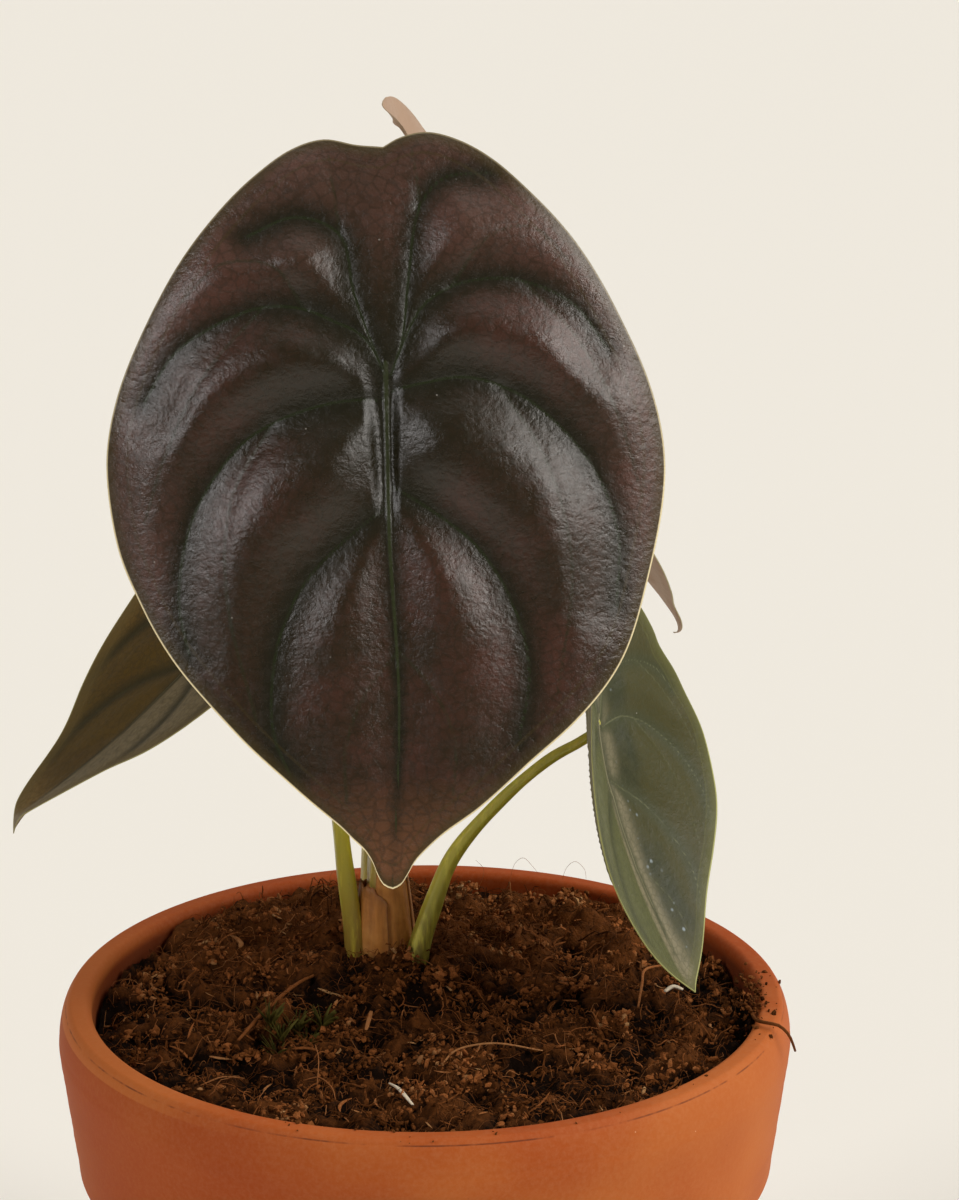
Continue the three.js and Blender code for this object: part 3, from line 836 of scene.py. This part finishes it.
frontBlade = {
    "node": "blade_front",
    "slot": "copper_blade",
    "place": (-6.3, -22, 247.7),
    "turn": (2.4, 67.8, -2.1),
    "length": 138.0,
    "notch": 42.4,
    "tip": (0, -92.9),
    "right": [(3, 44.2), (8, 45.4), (14, 44), (20.3, 40.3), (28, 32.5), (35.5, 23), (42.3, 11.8),
              (47.6, -0.5), (50.1, -14), (49.6, -26), (46.8, -38), (41.3, -52), (33, -63.5),
              (24, -71.3), (15.8, -77.7), (9.5, -82.1), (6.3, -85.1), (4.0, -87.8), (2.6, -90.4),
              (1.4, -92.2)],
    "left": [(-4.8, 43), (-11, 44.5), (-17, 42.8), (-24, 37.4), (-32, 28.4), (-39.3, 18.5),
             (-45, 8), (-49, -3), (-51, -15.5), (-49.4, -30), (-44.4, -41), (-36.2, -54.5),
             (-27, -65.5), (-17, -74), (-9.2, -80.9), (-7, -83.4), (-4.8, -85.8), (-3.5, -88.1),
             (-2.7, -90.3), (-1.5, -92.3)],
    "arch": 0.0026,
    "sideRoll": (29.0, 0.0055),
    "lobeBend": 0.0034,
    "tipBend": 0.0004,
    "foldRight": 0.0,
    "foldLeft": 0.0,
    "twist": 0.0,
    "relief": 3.4,
    "reliefWidth": 6.8,
    "channel": 1.25,
    "marginRoll": 1.7,
    "crinkle": 0.11,
    "around": 400,
    "rings": 86,
    "bulge": (0.029, 0.0150, 0.0056),
    # the blade's own blush on the upper lobes, and painted pink sheen along the sides
    "redBulge": (0.066, 0.0250, 0.0150),
    "blushAndSheen": (0.128, 0.063, 0.046),
    "tipTint": (0.150, 0.063, 0.027),
    "veinZone": (0.0105, 0.0095, 0.0025),
    "veinLine": (0.016, 0.022, 0.005),
    "ribLine": (0.026, 0.032, 0.009),
    "margin": (0.050, 0.034, 0.008),
    "marginWidth": 3.0,
    "darkHeart": 0.8,
    "edge": (0.85, 0.72, 0.42),
    "under": (0.30, 0.20, 0.15),
    "gloss": 0.47,
    "roughness": (0.16, 0.31),
    "roughen": 1.0,
}

leftBlade = {
    "node": "blade_left",
    "slot": "olive_blade",
    "place": (-34.6, 20.2, 193.4),
    "turn": (-66.9, 46, -5.9),
    "length": 94.0,
    "notch": 18.8,
    "tip": (0, -64.4),
    "tipCurl": (-58.8, 0.10),
    "right": [(5.6, 23.4), (11.3, 30), (18.8, 25.8), (25.8, 17.3), (30.9, 6.1), (33.2, -7.5),
              (31.4, -21.5), (25.4, -34.2), (16, -43.6), (7.7, -53.1)],
    "left": [(-5.6, 23.4), (-11.3, 30), (-18.8, 25.8), (-26, 17.5), (-31.3, 6.2), (-33.9, -7.6),
             (-31.6, -21.7), (-25.3, -34), (-16.5, -45), (-8.4, -57.5)],
    "arch": -0.0003,
    "lobeBend": -0.002,
    "tipBend": -0.002,
    "foldRight": 0.0,
    "foldLeft": 0.26,
    "twist": -0.0022,
    "relief": 1.3,
    "reliefWidth": 4.5,
    "channel": 0.5,
    "marginRoll": 0.3,
    "crinkle": 0.07,
    "around": 230,
    "rings": 46,
    "bulge": (0.088, 0.049, 0.003),
    "redBulge": (0.078, 0.042, 0.004),
    "blushAndSheen": (0.190, 0.112, 0.024),
    "bands": [(0.3, 3.2, 0.85, (0.180, 0.138, 0.068))],
    "veinZone": (0.030, 0.022, 0.003),
    "veinLine": (0.050, 0.042, 0.012),
    "ribLine": (0.080, 0.070, 0.026),
    "margin": (0.130, 0.085, 0.020),
    "marginWidth": 6.0,
    "edge": (0.35, 0.31, 0.12),
    "under": (0.30, 0.20, 0.14),
    "gloss": 0.25,
    "roughness": (0.38, 0.50),
    "roughen": 0.7,
}

rightBlade = {
    "node": "blade_right",
    "slot": "young_blade",
    "place": (34.5, 6.4, 172.4),
    "turn": (26.2, 75.4, 44.9),
    "length": 79.0,
    "notch": 11.9,
    "tip": (0, -54.0),
    "right": [(4.7, 17.5), (9.3, 24.7), (14.9, 20.5), (19.4, 14.8), (20.6, 12.2), (24.2, 6.6),
              (25.8, 2.2), (28.2, -7.2), (26.9, -18.5), (21.0, -28.7), (13.4, -39.2), (5.6, -48.6)],
    "left": [(-4.8, 17.9), (-9.5, 25.4), (-15.9, 21.9), (-21.9, 14.7), (-26.3, 5.2), (-28.3, -6.4),
             (-26.9, -18.4), (-22, -29.6), (-14.6, -39.7), (-6.9, -47.8)],
    "arch": -0.0016,
    "lobeBend": -0.0044,
    "tipBend": -0.0044,
    "foldRight": 0.385,
    "foldLeft": 0.247,
    "twist": -0.004,
    "relief": 1.1,
    "reliefWidth": 4.0,
    "channel": 0.4,
    "marginRoll": 0.3,
    "crinkle": 0.06,
    "around": 240,
    "rings": 56,
    "bulge": (0.032, 0.036, 0.013),
    "redBulge": (0.056, 0.052, 0.015),
    "blushAndSheen": (0.100, 0.090, 0.030),
    "bands": [(13.0, 19.0, 0.8, (0.062, 0.055, 0.012)), (8.5, 2.5, 0.9, (0.230, 0.200, 0.120)),
              (-1.5, -4.0, 0.85, (0.075, 0.085, 0.022))],
    # painted glints: small blue-white highlights in a band along the blade
    "paintedGlints": (9.0, 4.0, (0.26, 0.31, 0.33)),
    "veinZone": (0.050, 0.055, 0.022),
    "veinLine": (0.120, 0.125, 0.060),
    "ribLine": (0.19, 0.175, 0.10),
    "margin": (0.110, 0.110, 0.030),
    "marginWidth": 3.0,
    "edge": (0.40, 0.40, 0.14),
    "under": (0.26, 0.24, 0.13),
    "gloss": 0.22,
    "roughness": (0.32, 0.46),
    "roughen": 0.8,
}

backBlade = {
    "node": "blade_back",
    "slot": "copper_blade",
    "place": (10.1, 57, 244.3),
    "turn": (116.3, 60.3, -19.2),
    "length": 126.0,
    "notch": 12.0,
    "tip": (-17.6, -88.0),
    "hooks": [(26.0, -0.082), (-75.0, 0.10)],
    "right": [(5, 15.5), (10, 20.5), (14.5, 25.5), (17.3, 28.5), (19.4, 31.3), (21.6, 34.6), (23.9, 37.6),
              (26.6, 40), (29.8, 41.3), (32.2, 40.3), (31.9, 38), (30.2, 34), (29.6, 30.5), (30.3, 27),
              (32.1, 23.8), (34.6, 20.1), (38.2, 8), (38.6, -9.9), (36, -26), (27.5, -39), (14, -49),
              (0, -57), (-11.9, -63), (-13.5, -69), (-14.5, -73.5), (-15.6, -78), (-16.8, -84)],
    "left": [(-5, 22), (-7.5, 34.5), (-13.3, 42.3), (-22.2, 36), (-30.5, 23.8), (-36.7, 8.2), (-39.5, -10.1),
             (-37.4, -29.2), (-32.4, -42), (-28.9, -51.2), (-28.3, -56), (-27.3, -59.8), (-22.9, -67.1),
             (-18.4, -73), (-17.4, -78), (-17.6, -84)],
    "arch": 0.0006,
    "lobeBend": -0.0003,
    "tipBend": -0.0003,
    "foldRight": 0.25,
    "foldLeft": 0.27,
    "twist": 0.0009,
    "relief": 1.5,
    "reliefWidth": 5.5,
    "channel": 0.6,
    "marginRoll": 0.3,
    "crinkle": 0.09,
    "around": 260,
    "rings": 46,
    "bulge": (0.085, 0.040, 0.016),
    "redBulge": (0.120, 0.048, 0.022),
    "blushAndSheen": (0.150, 0.070, 0.040),
    "paleEnds": (0.42, 0.28, 0.19),
    "veinZone": (0.032, 0.024, 0.008),
    "veinLine": (0.035, 0.040, 0.012),
    "ribLine": (0.060, 0.062, 0.022),
    "margin": (0.100, 0.060, 0.020),
    "marginWidth": 4.0,
    "edge": (0.42, 0.36, 0.18),
    "under": (0.42, 0.28, 0.18),
    "gloss": 0.5,
    "roughness": (0.36, 0.48),
    "roughen": 0.7,
}


# What the four blades share, in millimetres on a blade as long as veinLayout's

bladeForm = {
    "ease": 1.3,                    # rounds off the gap to the nearest vein
    "flatStrip": 0.75,              # share of the quilting that is lost between the veins that climb
    "tipCalm": 0.38,                # and toward the tip
    "groove": (0.36, 0.9),          # depth and width of the crease over a vein
    "fineGroove": (0.22, 1.1),      # and over a fine vein
    "midrib": (0.5, 0.6),           # height and width of the midrib above the blade
    "midribBelow": (0.5, 0.9),      # and below it
    "veinBelow": (0.55, 0.6),
    "thickness": (0.16, 0.42),      # at the edge, and what it gains within 2.5 of it
    "dust": (0.46, 0.43, 0.38),
}


def ridge(gap, size, scale):
    # a rounded ridge along a line, from its height and half width
    height, width = size
    return height * scale * np.exp(-(gap / (width * scale)) ** 2)


def lineGap(lines, x, y):
    # distance in millimetres from each place to each line
    gaps = np.full((len(lines), len(x)), 1e9)
    for k, line in enumerate(lines):
        for a, b in zip(line[:-1], line[1:]):
            step = b - a
            along = ((x - a[0]) * step[0] + (y - a[1]) * step[1]) / step.dot(step)
            along = np.clip(along, 0, 1)
            gap = np.hypot(x - a[0] - along * step[0], y - a[1] - along * step[1])
            gaps[k] = np.minimum(gaps[k], gap)
    return gaps


def bladeScale(blade):
    return blade["length"] / veinLayout["length"]


def bladeLines(blade):
    scale = bladeScale(blade)
    lateral = [smoothLine(np.array(v) * scale, 30) for v in veinLayout["laterals"]]
    fine = [smoothLine(np.array(v) * scale, 16) for v in veinLayout["fine"]]
    midrib = smoothLine(np.array(veinLayout["midrib"]) * scale, 40)
    return midrib, lateral, fine


def bladeOutline(blade):
    notch = (0, blade["notch"])
    tip = blade["tip"]
    half = blade["around"] // 2
    right = smoothLine([notch, *blade["right"], tip], half + 1)[:-1]
    left = smoothLine([tip, *blade["left"][::-1], notch], half + 1)[:-1]
    return np.vstack([right, left])


def bladeShape(blade, lines, x, y, edge):
    # height of the upper face, and the gaps to the veins
    midrib, lateral, fine = lines
    scale = bladeScale(blade)
    across = x / scale
    up = y / scale
    soft = 0.07 * blade["length"]
    fold = np.where(x > 0, blade["foldRight"], blade["foldLeft"]) * (np.hypot(x, soft) - soft)
    bend = np.where(y > 0, blade["lobeBend"], blade["tipBend"]) * y * y
    form = fold - bend - blade["arch"] * x * x + blade["twist"] * x * y
    if "sideRoll" in blade:
        start, amount = blade["sideRoll"]
        form = form - amount * np.maximum(0, np.abs(x) - start) ** 2
    if "tipCurl" in blade:
        start, amount = blade["tipCurl"]
        form = form - amount * np.maximum(0, start - y) ** 2
    rib = lineGap([midrib], x, y)[0]
    gaps = lineGap(lateral, x, y)
    small = lineGap(fine, x, y).min(axis=0)
    every = np.vstack([rib[None], gaps])
    # the blade bulges between the veins, with the gap to the nearest vein rounded off
    ease = bladeForm["ease"] * scale
    near = np.maximum(0, -ease * np.log(np.exp(-every / ease).sum(axis=0)))
    quilt = 1 - np.exp(-(near / blade["reliefWidth"]) ** 2.25)
    # the strip between the two veins that climb from the stalk stays nearly flat
    strip = np.exp(-((across + 0.07 * up) / (1.5 + 0.22 * np.maximum(up, 0))) ** 4)
    quilt = quilt * (1 - bladeForm["flatStrip"] * strip * np.clip(up / 6, 0, 1))
    calm = 1 - edge ** 4
    lower = 1 - bladeForm["tipCalm"] * np.clip((-up - 26) / 26, 0, 1)
    form = form + blade["relief"] * (quilt * lower - 0.75) * calm
    # the midrib thins toward the tip
    taper = np.clip(1 + up / 110, 0.35, 1)
    rib = rib / taper
    every[0] = rib
    sharp = every.min(axis=0)
    deep, wide = bladeForm["groove"]
    form = form - deep * scale * np.exp(-sharp / (wide * scale)) * calm
    # a trough along the midrib, just below the place where the stalk meets the blade
    down = np.clip(-up / 24, 0, 1)
    trough = np.exp(-((across + 0.8 - 0.8 * down) / (2.9 - 1.1 * down)) ** 4)
    form = form - blade["channel"] * trough * np.exp(-((up + 11.5) / 12.8) ** 6)
    form = form + ridge(rib, bladeForm["midrib"], scale) * taper
    form = form - ridge(small, bladeForm["fineGroove"], scale) * calm
    form = form - blade["marginRoll"] * edge ** 7
    return form, rib, sharp, small, quilt


def bladeMaterial(blade):
    # the bulges first, then the bands, the dark zones, the veins, the margin and the lit edge
    skin = Skin(blade["node"] + "Skin", blade["bulge"])
    scale = bladeScale(blade)
    veinGap = skin.read("veinGap")
    rimGap = skin.read("rimGap")
    across = skin.read("across")
    tip = skin.read("tipShare")
    under = skin.read("under")
    mottle = skin.spots(2.0, 5, 0.72)
    grain = skin.spots(0.7, 4, 0.7)
    patchy = skin.plus(skin.spots(22 * scale), skin.times(mottle, 0.35))
    skin.lay(skin.fade(patchy, 0.58, 0.86), blade["redBulge"])
    # the blade's own blush on the upper lobes, and painted pink sheen along the sides
    blushAndSheen = skin.times(skin.read("blushAndSheen"), skin.fade(mottle, 0.2, 0.7, 0.55, 1))
    skin.lay(blushAndSheen, blade["blushAndSheen"])
    skin.lay(tip, blade.get("tipTint", blade["blushAndSheen"]))
    for start, end, share, tint in blade.get("bands", []):
        skin.lay(skin.fade(across, start, end, 0, share), tint)
    # painted glints: small blue-white highlights in a band along the blade
    if "paintedGlints" in blade:
        middle, reach, tint = blade["paintedGlints"]
        near = skin.fade(skin.away(across, middle), 0.3 * reach, reach, 1.0, 0.0)
        glintDots = skin.fade(skin.cells(2.4), 0.10, 0.24, 0.9, 0.0)
        skin.lay(skin.times(near, glintDots), tint)
    # dark zones along the veins, which clear toward the tip
    wobbly = skin.plus(veinGap, skin.times(mottle, 2.6 * scale))
    zone = skin.fade(wobbly, 1.0 * scale, 6.4 * scale, 0.95, 0.0)
    clear = skin.calculate("SUBTRACT", 1.0, skin.times(tip, 0.85))
    skin.lay(skin.times(zone, clear), blade["veinZone"])
    netting = skin.cells(1.9 * scale + 0.3, "DISTANCE_TO_EDGE")
    skin.lay(skin.fade(netting, 0.02, 0.14, 0.32, 0.0), blade["veinZone"])
    speckle = skin.fade(mottle, 0.48, 0.70, 0.0, 0.42)
    skin.lay(speckle, blade["veinZone"])
    skin.lay(skin.read("heart"), blade["veinZone"])
    # the veins themselves, from the finest to the midrib
    fine = skin.fade(skin.read("fineGap"), 0.12 * scale, 0.5 * scale, 0.4, 0.0)
    skin.lay(fine, blade["veinLine"])
    collect = skin.away(rimGap, 4.2 * scale)
    skin.lay(skin.fade(collect, 0.12 * scale, 0.45 * scale, 0.35, 0.0), blade["margin"])
    main = skin.fade(veinGap, 0.08 * scale, 0.45 * scale, 0.85, 0.0)
    skin.lay(main, blade["veinLine"])
    rib = skin.fade(skin.read("ribGap"), 0.25 * scale, 0.7 * scale, 0.95, 0.0)
    skin.lay(rib, blade["ribLine"])
    wide = blade["marginWidth"]
    skin.lay(skin.fade(rimGap, 0.1 * wide, wide, 0.75, 0.0), blade["margin"])
    if "paleEnds" in blade:
        skin.lay(skin.read("ends"), blade["paleEnds"])
    skin.lay(skin.fade(skin.cells(8.5), 0.012, 0.026, 0.45, 0.0), bladeForm["dust"])
    underTone = skin.blend(main, blade["under"], tuple(0.8 * c + 0.05 for c in blade["under"]))
    underTone = skin.blend(speckle, underTone, tuple(0.75 * c for c in blade["under"]))
    skin.lay(under, underTone)
    bright = skin.times(skin.read("litEdge"), skin.fade(rimGap, 0.14, 0.40, 1, 0))
    skin.lay(bright, blade["edge"])
    smoothness = skin.fade(mottle, 0.32, 0.66, *blade["roughness"])
    rough = skin.blend(under, smoothness, (0.62, 0.62, 0.62))
    wrinkles = skin.spots(2.0 * scale + 0.3, 4, 0.68, stretch=(0.7, 1, 1.2), distortion=0.3)
    depths = [(wrinkles, 0.12), (skin.cells(1.3), 0.04), (mottle, 0.17), (grain, 0.05)]
    layers = [(height, depth * blade["roughen"]) for height, depth in depths]
    return skin.finish({"Roughness": rough, "Specular IOR Level": blade["gloss"]}, layers)


def bladePose(blade):
    aboutZ, aboutX, aboutY = (math.radians(a) for a in blade["turn"])
    turn = Euler((0, 0, aboutZ)).to_matrix() @ Euler((aboutX, 0, 0)).to_matrix()
    turn = turn @ Euler((0, aboutY, 0)).to_matrix()
    return np.array(turn), np.array(blade["place"], float)


def makeBlade(blade):
    # rings of points from the stalk out to the outline, for the upper face and then for the lower
    lines = bladeLines(blade)
    outline = bladeOutline(blade)
    around = len(outline)
    wave = 1 + 0.006 * np.sin(np.arange(around) / around * 2 * math.pi * 9 + 1.3)
    outline = outline * wave[:, None]
    edges = np.concatenate([np.linspace(0.006, 0.955, blade["rings"]) ** 0.96,
                            [0.966, 0.976, 0.984, 0.990, 0.9945, 0.998, 1.0]])
    x = np.outer(edges, outline[:, 0]).ravel()
    y = np.outer(edges, outline[:, 1]).ravel()
    edge = np.repeat(edges, around)
    for start, pull in blade.get("hooks", []):
        # a lobe end or the tip bends sideways
        beyond = np.maximum(0, y - start) * (x > 0) if start > 0 else np.maximum(0, start - y)
        x = x + pull * beyond ** 2
    height, rib, vein, fine, quilt = bladeShape(blade, lines, x, y, edge)
    nudge = 0.05
    alongX = (bladeShape(blade, lines, x + nudge, y, edge)[0] - height) / nudge
    alongY = (bladeShape(blade, lines, x, y + nudge, edge)[0] - height) / nudge
    flat = np.stack([x, y, np.zeros_like(x)], 1)
    scale = bladeScale(blade)
    puckers = fractal(flat, 7.5 * scale, 3, 3.1) * blade["crinkle"] * quilt
    height = height + puckers * (1 - edge ** 8)
    normal = np.stack([-alongX, -alongY, np.ones_like(x)], 1)
    normal /= np.linalg.norm(normal, axis=1)[:, None]
    rimGap = (1 - edge) * np.hypot(*np.tile(outline, (len(edges), 1)).T)
    thin, gain = bladeForm["thickness"]
    thick = thin + gain * np.clip(rimGap / 2.5, 0, 1)
    cords = ridge(vein, bladeForm["veinBelow"], scale) + ridge(rib, bladeForm["midribBelow"], scale)
    cords = cords * np.clip(rimGap / 6, 0, 1)
    upper = np.stack([x, y, height], 1)
    lower = upper - normal * (thick + cords)[:, None]
    turn, place = bladePose(blade)
    points = np.vstack([upper, lower]) @ turn.T + place
    count = len(x)
    faces = ringFaces(len(edges), around)
    faces.append(list(range(around))[::-1])
    faces = [face[::-1] for face in faces]
    under = [[i + count for i in face][::-1] for face in faces]
    last = (len(edges) - 1) * around
    faces += seamFaces(last, count + last, around)
    across = x / scale
    up = y / scale
    # painted pink sheen along the sides
    sides = np.exp(-(rimGap / scale / 9.5) ** 2)
    sides = sides * np.clip((up + 52) / 22, 0, 1) * np.clip((40 - up) / 14, 0, 1)
    lobes = np.clip((up - 12) / 16, 0, 1) * (0.35 + 0.65 * quilt)
    shares = {
        "across": across,
        "heart": blade.get("darkHeart", 0) * np.exp(-(np.hypot(across, up + 6) / 21) ** 2),
        "ends": np.clip(np.maximum((up - 20) / 7, (-up - 52) / 9), 0, 1),
        "blushAndSheen": np.maximum(0.75 * sides, 0.85 * lobes),
        "tipShare": np.clip((-up - 72) / 16, 0, 1),
        "litEdge": 0.25 + 0.75 * np.clip((8 - up) / 30, 0, 1),
        "veinGap": vein,
        "ribGap": rib,
        "fineGap": fine,
        "rimGap": rimGap,
    }
    values = {key: np.tile(numbers, 2) for key, numbers in shares.items()}
    values["under"] = np.repeat([0.0, 1.0], count)
    thing = makeObject(blade["node"] + "Fine", points, faces + under, bladeMaterial(blade), values)
    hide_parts(blade["node"])
    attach(thing, "root")


for blade in (frontBlade, leftBlade, rightBlade, backBlade):
    makeBlade(blade)
    print("made", blade["node"])

# Stalks

stalks = {
    # lead: the stalk comes to the blade square on over its last millimetres
    "petiole_front": {
        "blade": frontBlade,
        "route": [(-8, 15.5, 103), (-8, 15.5, 128), (-8, 17, 165), (-7, 12, 205), (-6.5, -2, 233)],
        "lead": 7.0,
        "foot": 5.2,
        "top": 1.7,
        "colour": (0.45, 0.37, 0.07),
        "footColour": (0.40, 0.29, 0.06),
    },
    "petiole_left": {
        "blade": leftBlade,
        "route": [(-13.6, 12.6, 104), (-13.9, 12.6, 123), (-15.7, 13.6, 138), (-18.4, 14.5, 160),
                  (-25, 17, 180)],
        "lead": 7.0,
        "foot": 2.9,
        "top": 1.2,
        "colour": (0.50, 0.44, 0.024),
        "footColour": (0.25, 0.155, 0.022),
    },
    "petiole_right": {
        "blade": rightBlade,
        "route": [(-2.6, 10.4, 104), (-1.9, 10.4, 121), (1.7, 11.6, 133.3), (5.4, 12.4, 142.3),
                  (14.8, 12, 154.1), (24.2, 11, 162.9), (30.2, 9.9, 166.9), (33.2, 8.8, 169.6)],
        "foot": 3.4,
        "top": 1.05,
        "colour": (0.50, 0.46, 0.05),
        "footColour": (0.13, 0.095, 0.014),
    },
    "petiole_back": {
        "blade": backBlade,
        "route": [(-10.6, 20, 104), (-10.6, 20, 124), (-10.2, 29, 160), (-8, 44, 200), (-2, 52.5, 232)],
        "lead": 7.0,
        "foot": 3.4,
        "top": 1.3,
        "colour": (0.58, 0.50, 0.11),
        "footColour": (0.55, 0.44, 0.08),
    },
}


def stalkMaterial(name, look):
    skin = Skin(name + "Skin", look["footColour"])
    streaks = skin.spots(1.6, 4, 0.6, stretch=(1, 1, 0.12))
    fleck = skin.spots(0.5, stretch=(1, 1, 0.4))
    skin.lay(skin.fade(skin.read("along"), 0.17, 0.5), look["colour"])
    pale = tuple(min(1, 1.5 * c + 0.02) for c in look["colour"])
    skin.lay(skin.fade(streaks, 0.45, 0.7, 0, 0.55), pale)
    dark = tuple(0.55 * c for c in look["colour"])
    skin.lay(skin.fade(fleck, 0.58, 0.75, 0, 0.4), dark)
    sockets = {"Roughness": 0.38, "Subsurface Weight": 0.12, "Subsurface Scale": 0.002}
    return skin.finish(sockets, [(streaks, 0.12), (fleck, 0.05)])


def makeStalk(name, look):
    # from inside the mix to the underside of its blade
    blade = look["blade"]
    turn, place = bladePose(blade)
    surface = bladeShape(blade, bladeLines(blade), np.zeros(1), np.zeros(1), np.zeros(1))[0][0]
    depths = [look["lead"], 1.3] if "lead" in look else [1.3]
    ends = [turn @ np.array([0, 0, surface - depth]) + place for depth in depths]
    rows = 90
    sides = 28
    line = smoothLine([*look["route"], *ends], rows)
    t = np.linspace(0, 1, rows)
    radii = look["top"] + (look["foot"] - look["top"]) * (1 - t) ** 2.2
    radii = radii * (1 + 0.25 * np.clip((t - 0.965) / 0.035, 0, 1) ** 2)
    radii = radii + 0.03 * np.sin(t * 40)
    points = tubePoints(line, radii, sides)
    angle = np.tile(turns(sides), rows)
    groove = 0.10 * np.maximum(0, np.cos(angle - 1.2)) ** 6 - 0.02 * np.cos(angle * 7)
    centre = np.repeat(line, sides, axis=0)
    points = centre + (points - centre) * (1 - groove)[:, None]
    faces = tubeFaces(rows, sides)
    values = {"along": np.repeat(t, sides)}
    thing = makeObject(name + "Fine", points, faces, stalkMaterial(name, look), values)
    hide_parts(name)
    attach(thing, "root")


for name, look in stalks.items():
    makeStalk(name, look)
print("stalks grown")

# Papery crown: a ribbed foot wrapped in torn dry scales

crown = {
    "x": -8.0,
    "y": 15.5,
    "low": 110.0,
    "top": 136.5,
    "footRadius": 6.3,
    "topRadius": 4.2,
    "colour": (0.50, 0.195, 0.030),
    "pale": (0.60, 0.27, 0.055),
    "dark": (0.36, 0.135, 0.020),
    "foot": (0.135, 0.052, 0.020),
    "scaleThickness": 0.32,
    # each scale: middle angle, half width, foot height, top height, stand-off, lean
    "scales": [
        (-58, 60, 111, 147, 0.15, 0.15),
        (-160, 84, 111, 136, 0.50, 0.2),
        (40, 62, 111, 144, 0.35, 0.2),
    ],
}


def sheathMaterial(look):
    skin = Skin("sheath", look["dark"])
    fibres = skin.spots(1.3, 5, 0.6, stretch=(1, 1, 0.12))
    cloud = skin.spots(6)
    skin.lay(skin.fade(fibres, 0.35, 0.68), look["colour"])
    skin.lay(skin.fade(cloud, 0.45, 0.7, 0, 0.65), look["pale"])
    skin.lay(skin.read("rim"), look["foot"])
    skin.lay(skin.fade(skin.read("up"), 1.0, 17.0, 0.9, 0.0), look["foot"])
    sockets = {"Roughness": 0.6, "Subsurface Weight": 0.08, "Subsurface Scale": 0.001}
    return skin.finish(sockets, [(fibres, 0.12), (cloud, 0.8)])


def crownRadius(look, height):
    t = np.clip((height - look["low"]) / (look["top"] - look["low"]), 0, 1.2)
    return look["footRadius"] + (look["topRadius"] - look["footRadius"]) * t + 0.5 * np.sin(t * math.pi)


def makeCrown(look):
    # a ribbed foot first, then each scale as two sheets joined round their edge
    axis = np.array([look["x"], look["y"], 0.0])
    points = []
    rims = []
    rows = 44
    around = 96
    angle = turns(around)
    for t in np.linspace(0, 1, rows):
        height = look["low"] + (look["top"] - look["low"]) * t
        ribs = 0.16 * np.cos(7 * angle + t) + 0.06 * np.cos(19 * angle - 2 * t)
        radius = crownRadius(look, height) - 0.5 + ribs
        radius = radius * (1 - 0.55 * max(0, (t - 0.93) / 0.07) ** 2)
        points.append(ring(radius, angle, height) + axis)
        rims.append(np.zeros(around))
    faces = tubeFaces(rows, around)
    count = rows * around
    across = 44
    up = 24
    u = np.linspace(-1, 1, across)
    sheet = up * across
    # the way round the edge of a scale
    border = list(range(across))
    border += [i * across + across - 1 for i in range(1, up)]
    border += [(up - 1) * across + j for j in range(across - 2, -1, -1)]
    border += [i * across for i in range(up - 2, 0, -1)]
    for middle, halfWidth, low, top, stand, lean in look["scales"]:
        for layer, sink in enumerate((0.0, look["scaleThickness"])):
            for b in np.linspace(0, 1, up):
                turn = np.radians(middle + u * halfWidth * (1 - 0.10 * b))
                ragged = 0.35 * np.sin(u * 9 + middle) + 0.2 * np.sin(u * 23 + 1)
                peak = (1 - 0.10 * np.abs(u) ** 3) * (top - low) + ragged * b
                height = low + peak * b
                ribs = 0.07 * np.cos(turn * 11 + b * 2)
                radius = crownRadius(look, height) + stand + lean * b ** 2.5 + ribs - sink
                points.append(ring(radius, turn, height) + axis)
                rims.append(np.clip(np.maximum(np.abs(u) ** 24, b ** 16), 0, 1) * 0.6)
            for i in range(up - 1):
                for j in range(across - 1):
                    a = count + layer * sheet + i * across + j
                    quad = [a, a + 1, a + across + 1, a + across]
                    faces.append(quad if layer == 0 else quad[::-1])
        for a, b in zip(border, border[1:] + border[:1]):
            faces.append([count + b, count + a, count + sheet + a, count + sheet + b])
        count += 2 * sheet
    points = np.vstack(points)
    values = {"rim": np.concatenate(rims), "up": points[:, 2] - look["low"]}
    thing = makeObject("crownScales", points, faces, sheathMaterial(look), values)
    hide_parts("crown_sheath")
    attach(thing, "root")


makeCrown(crown)
print("crown wrapped")
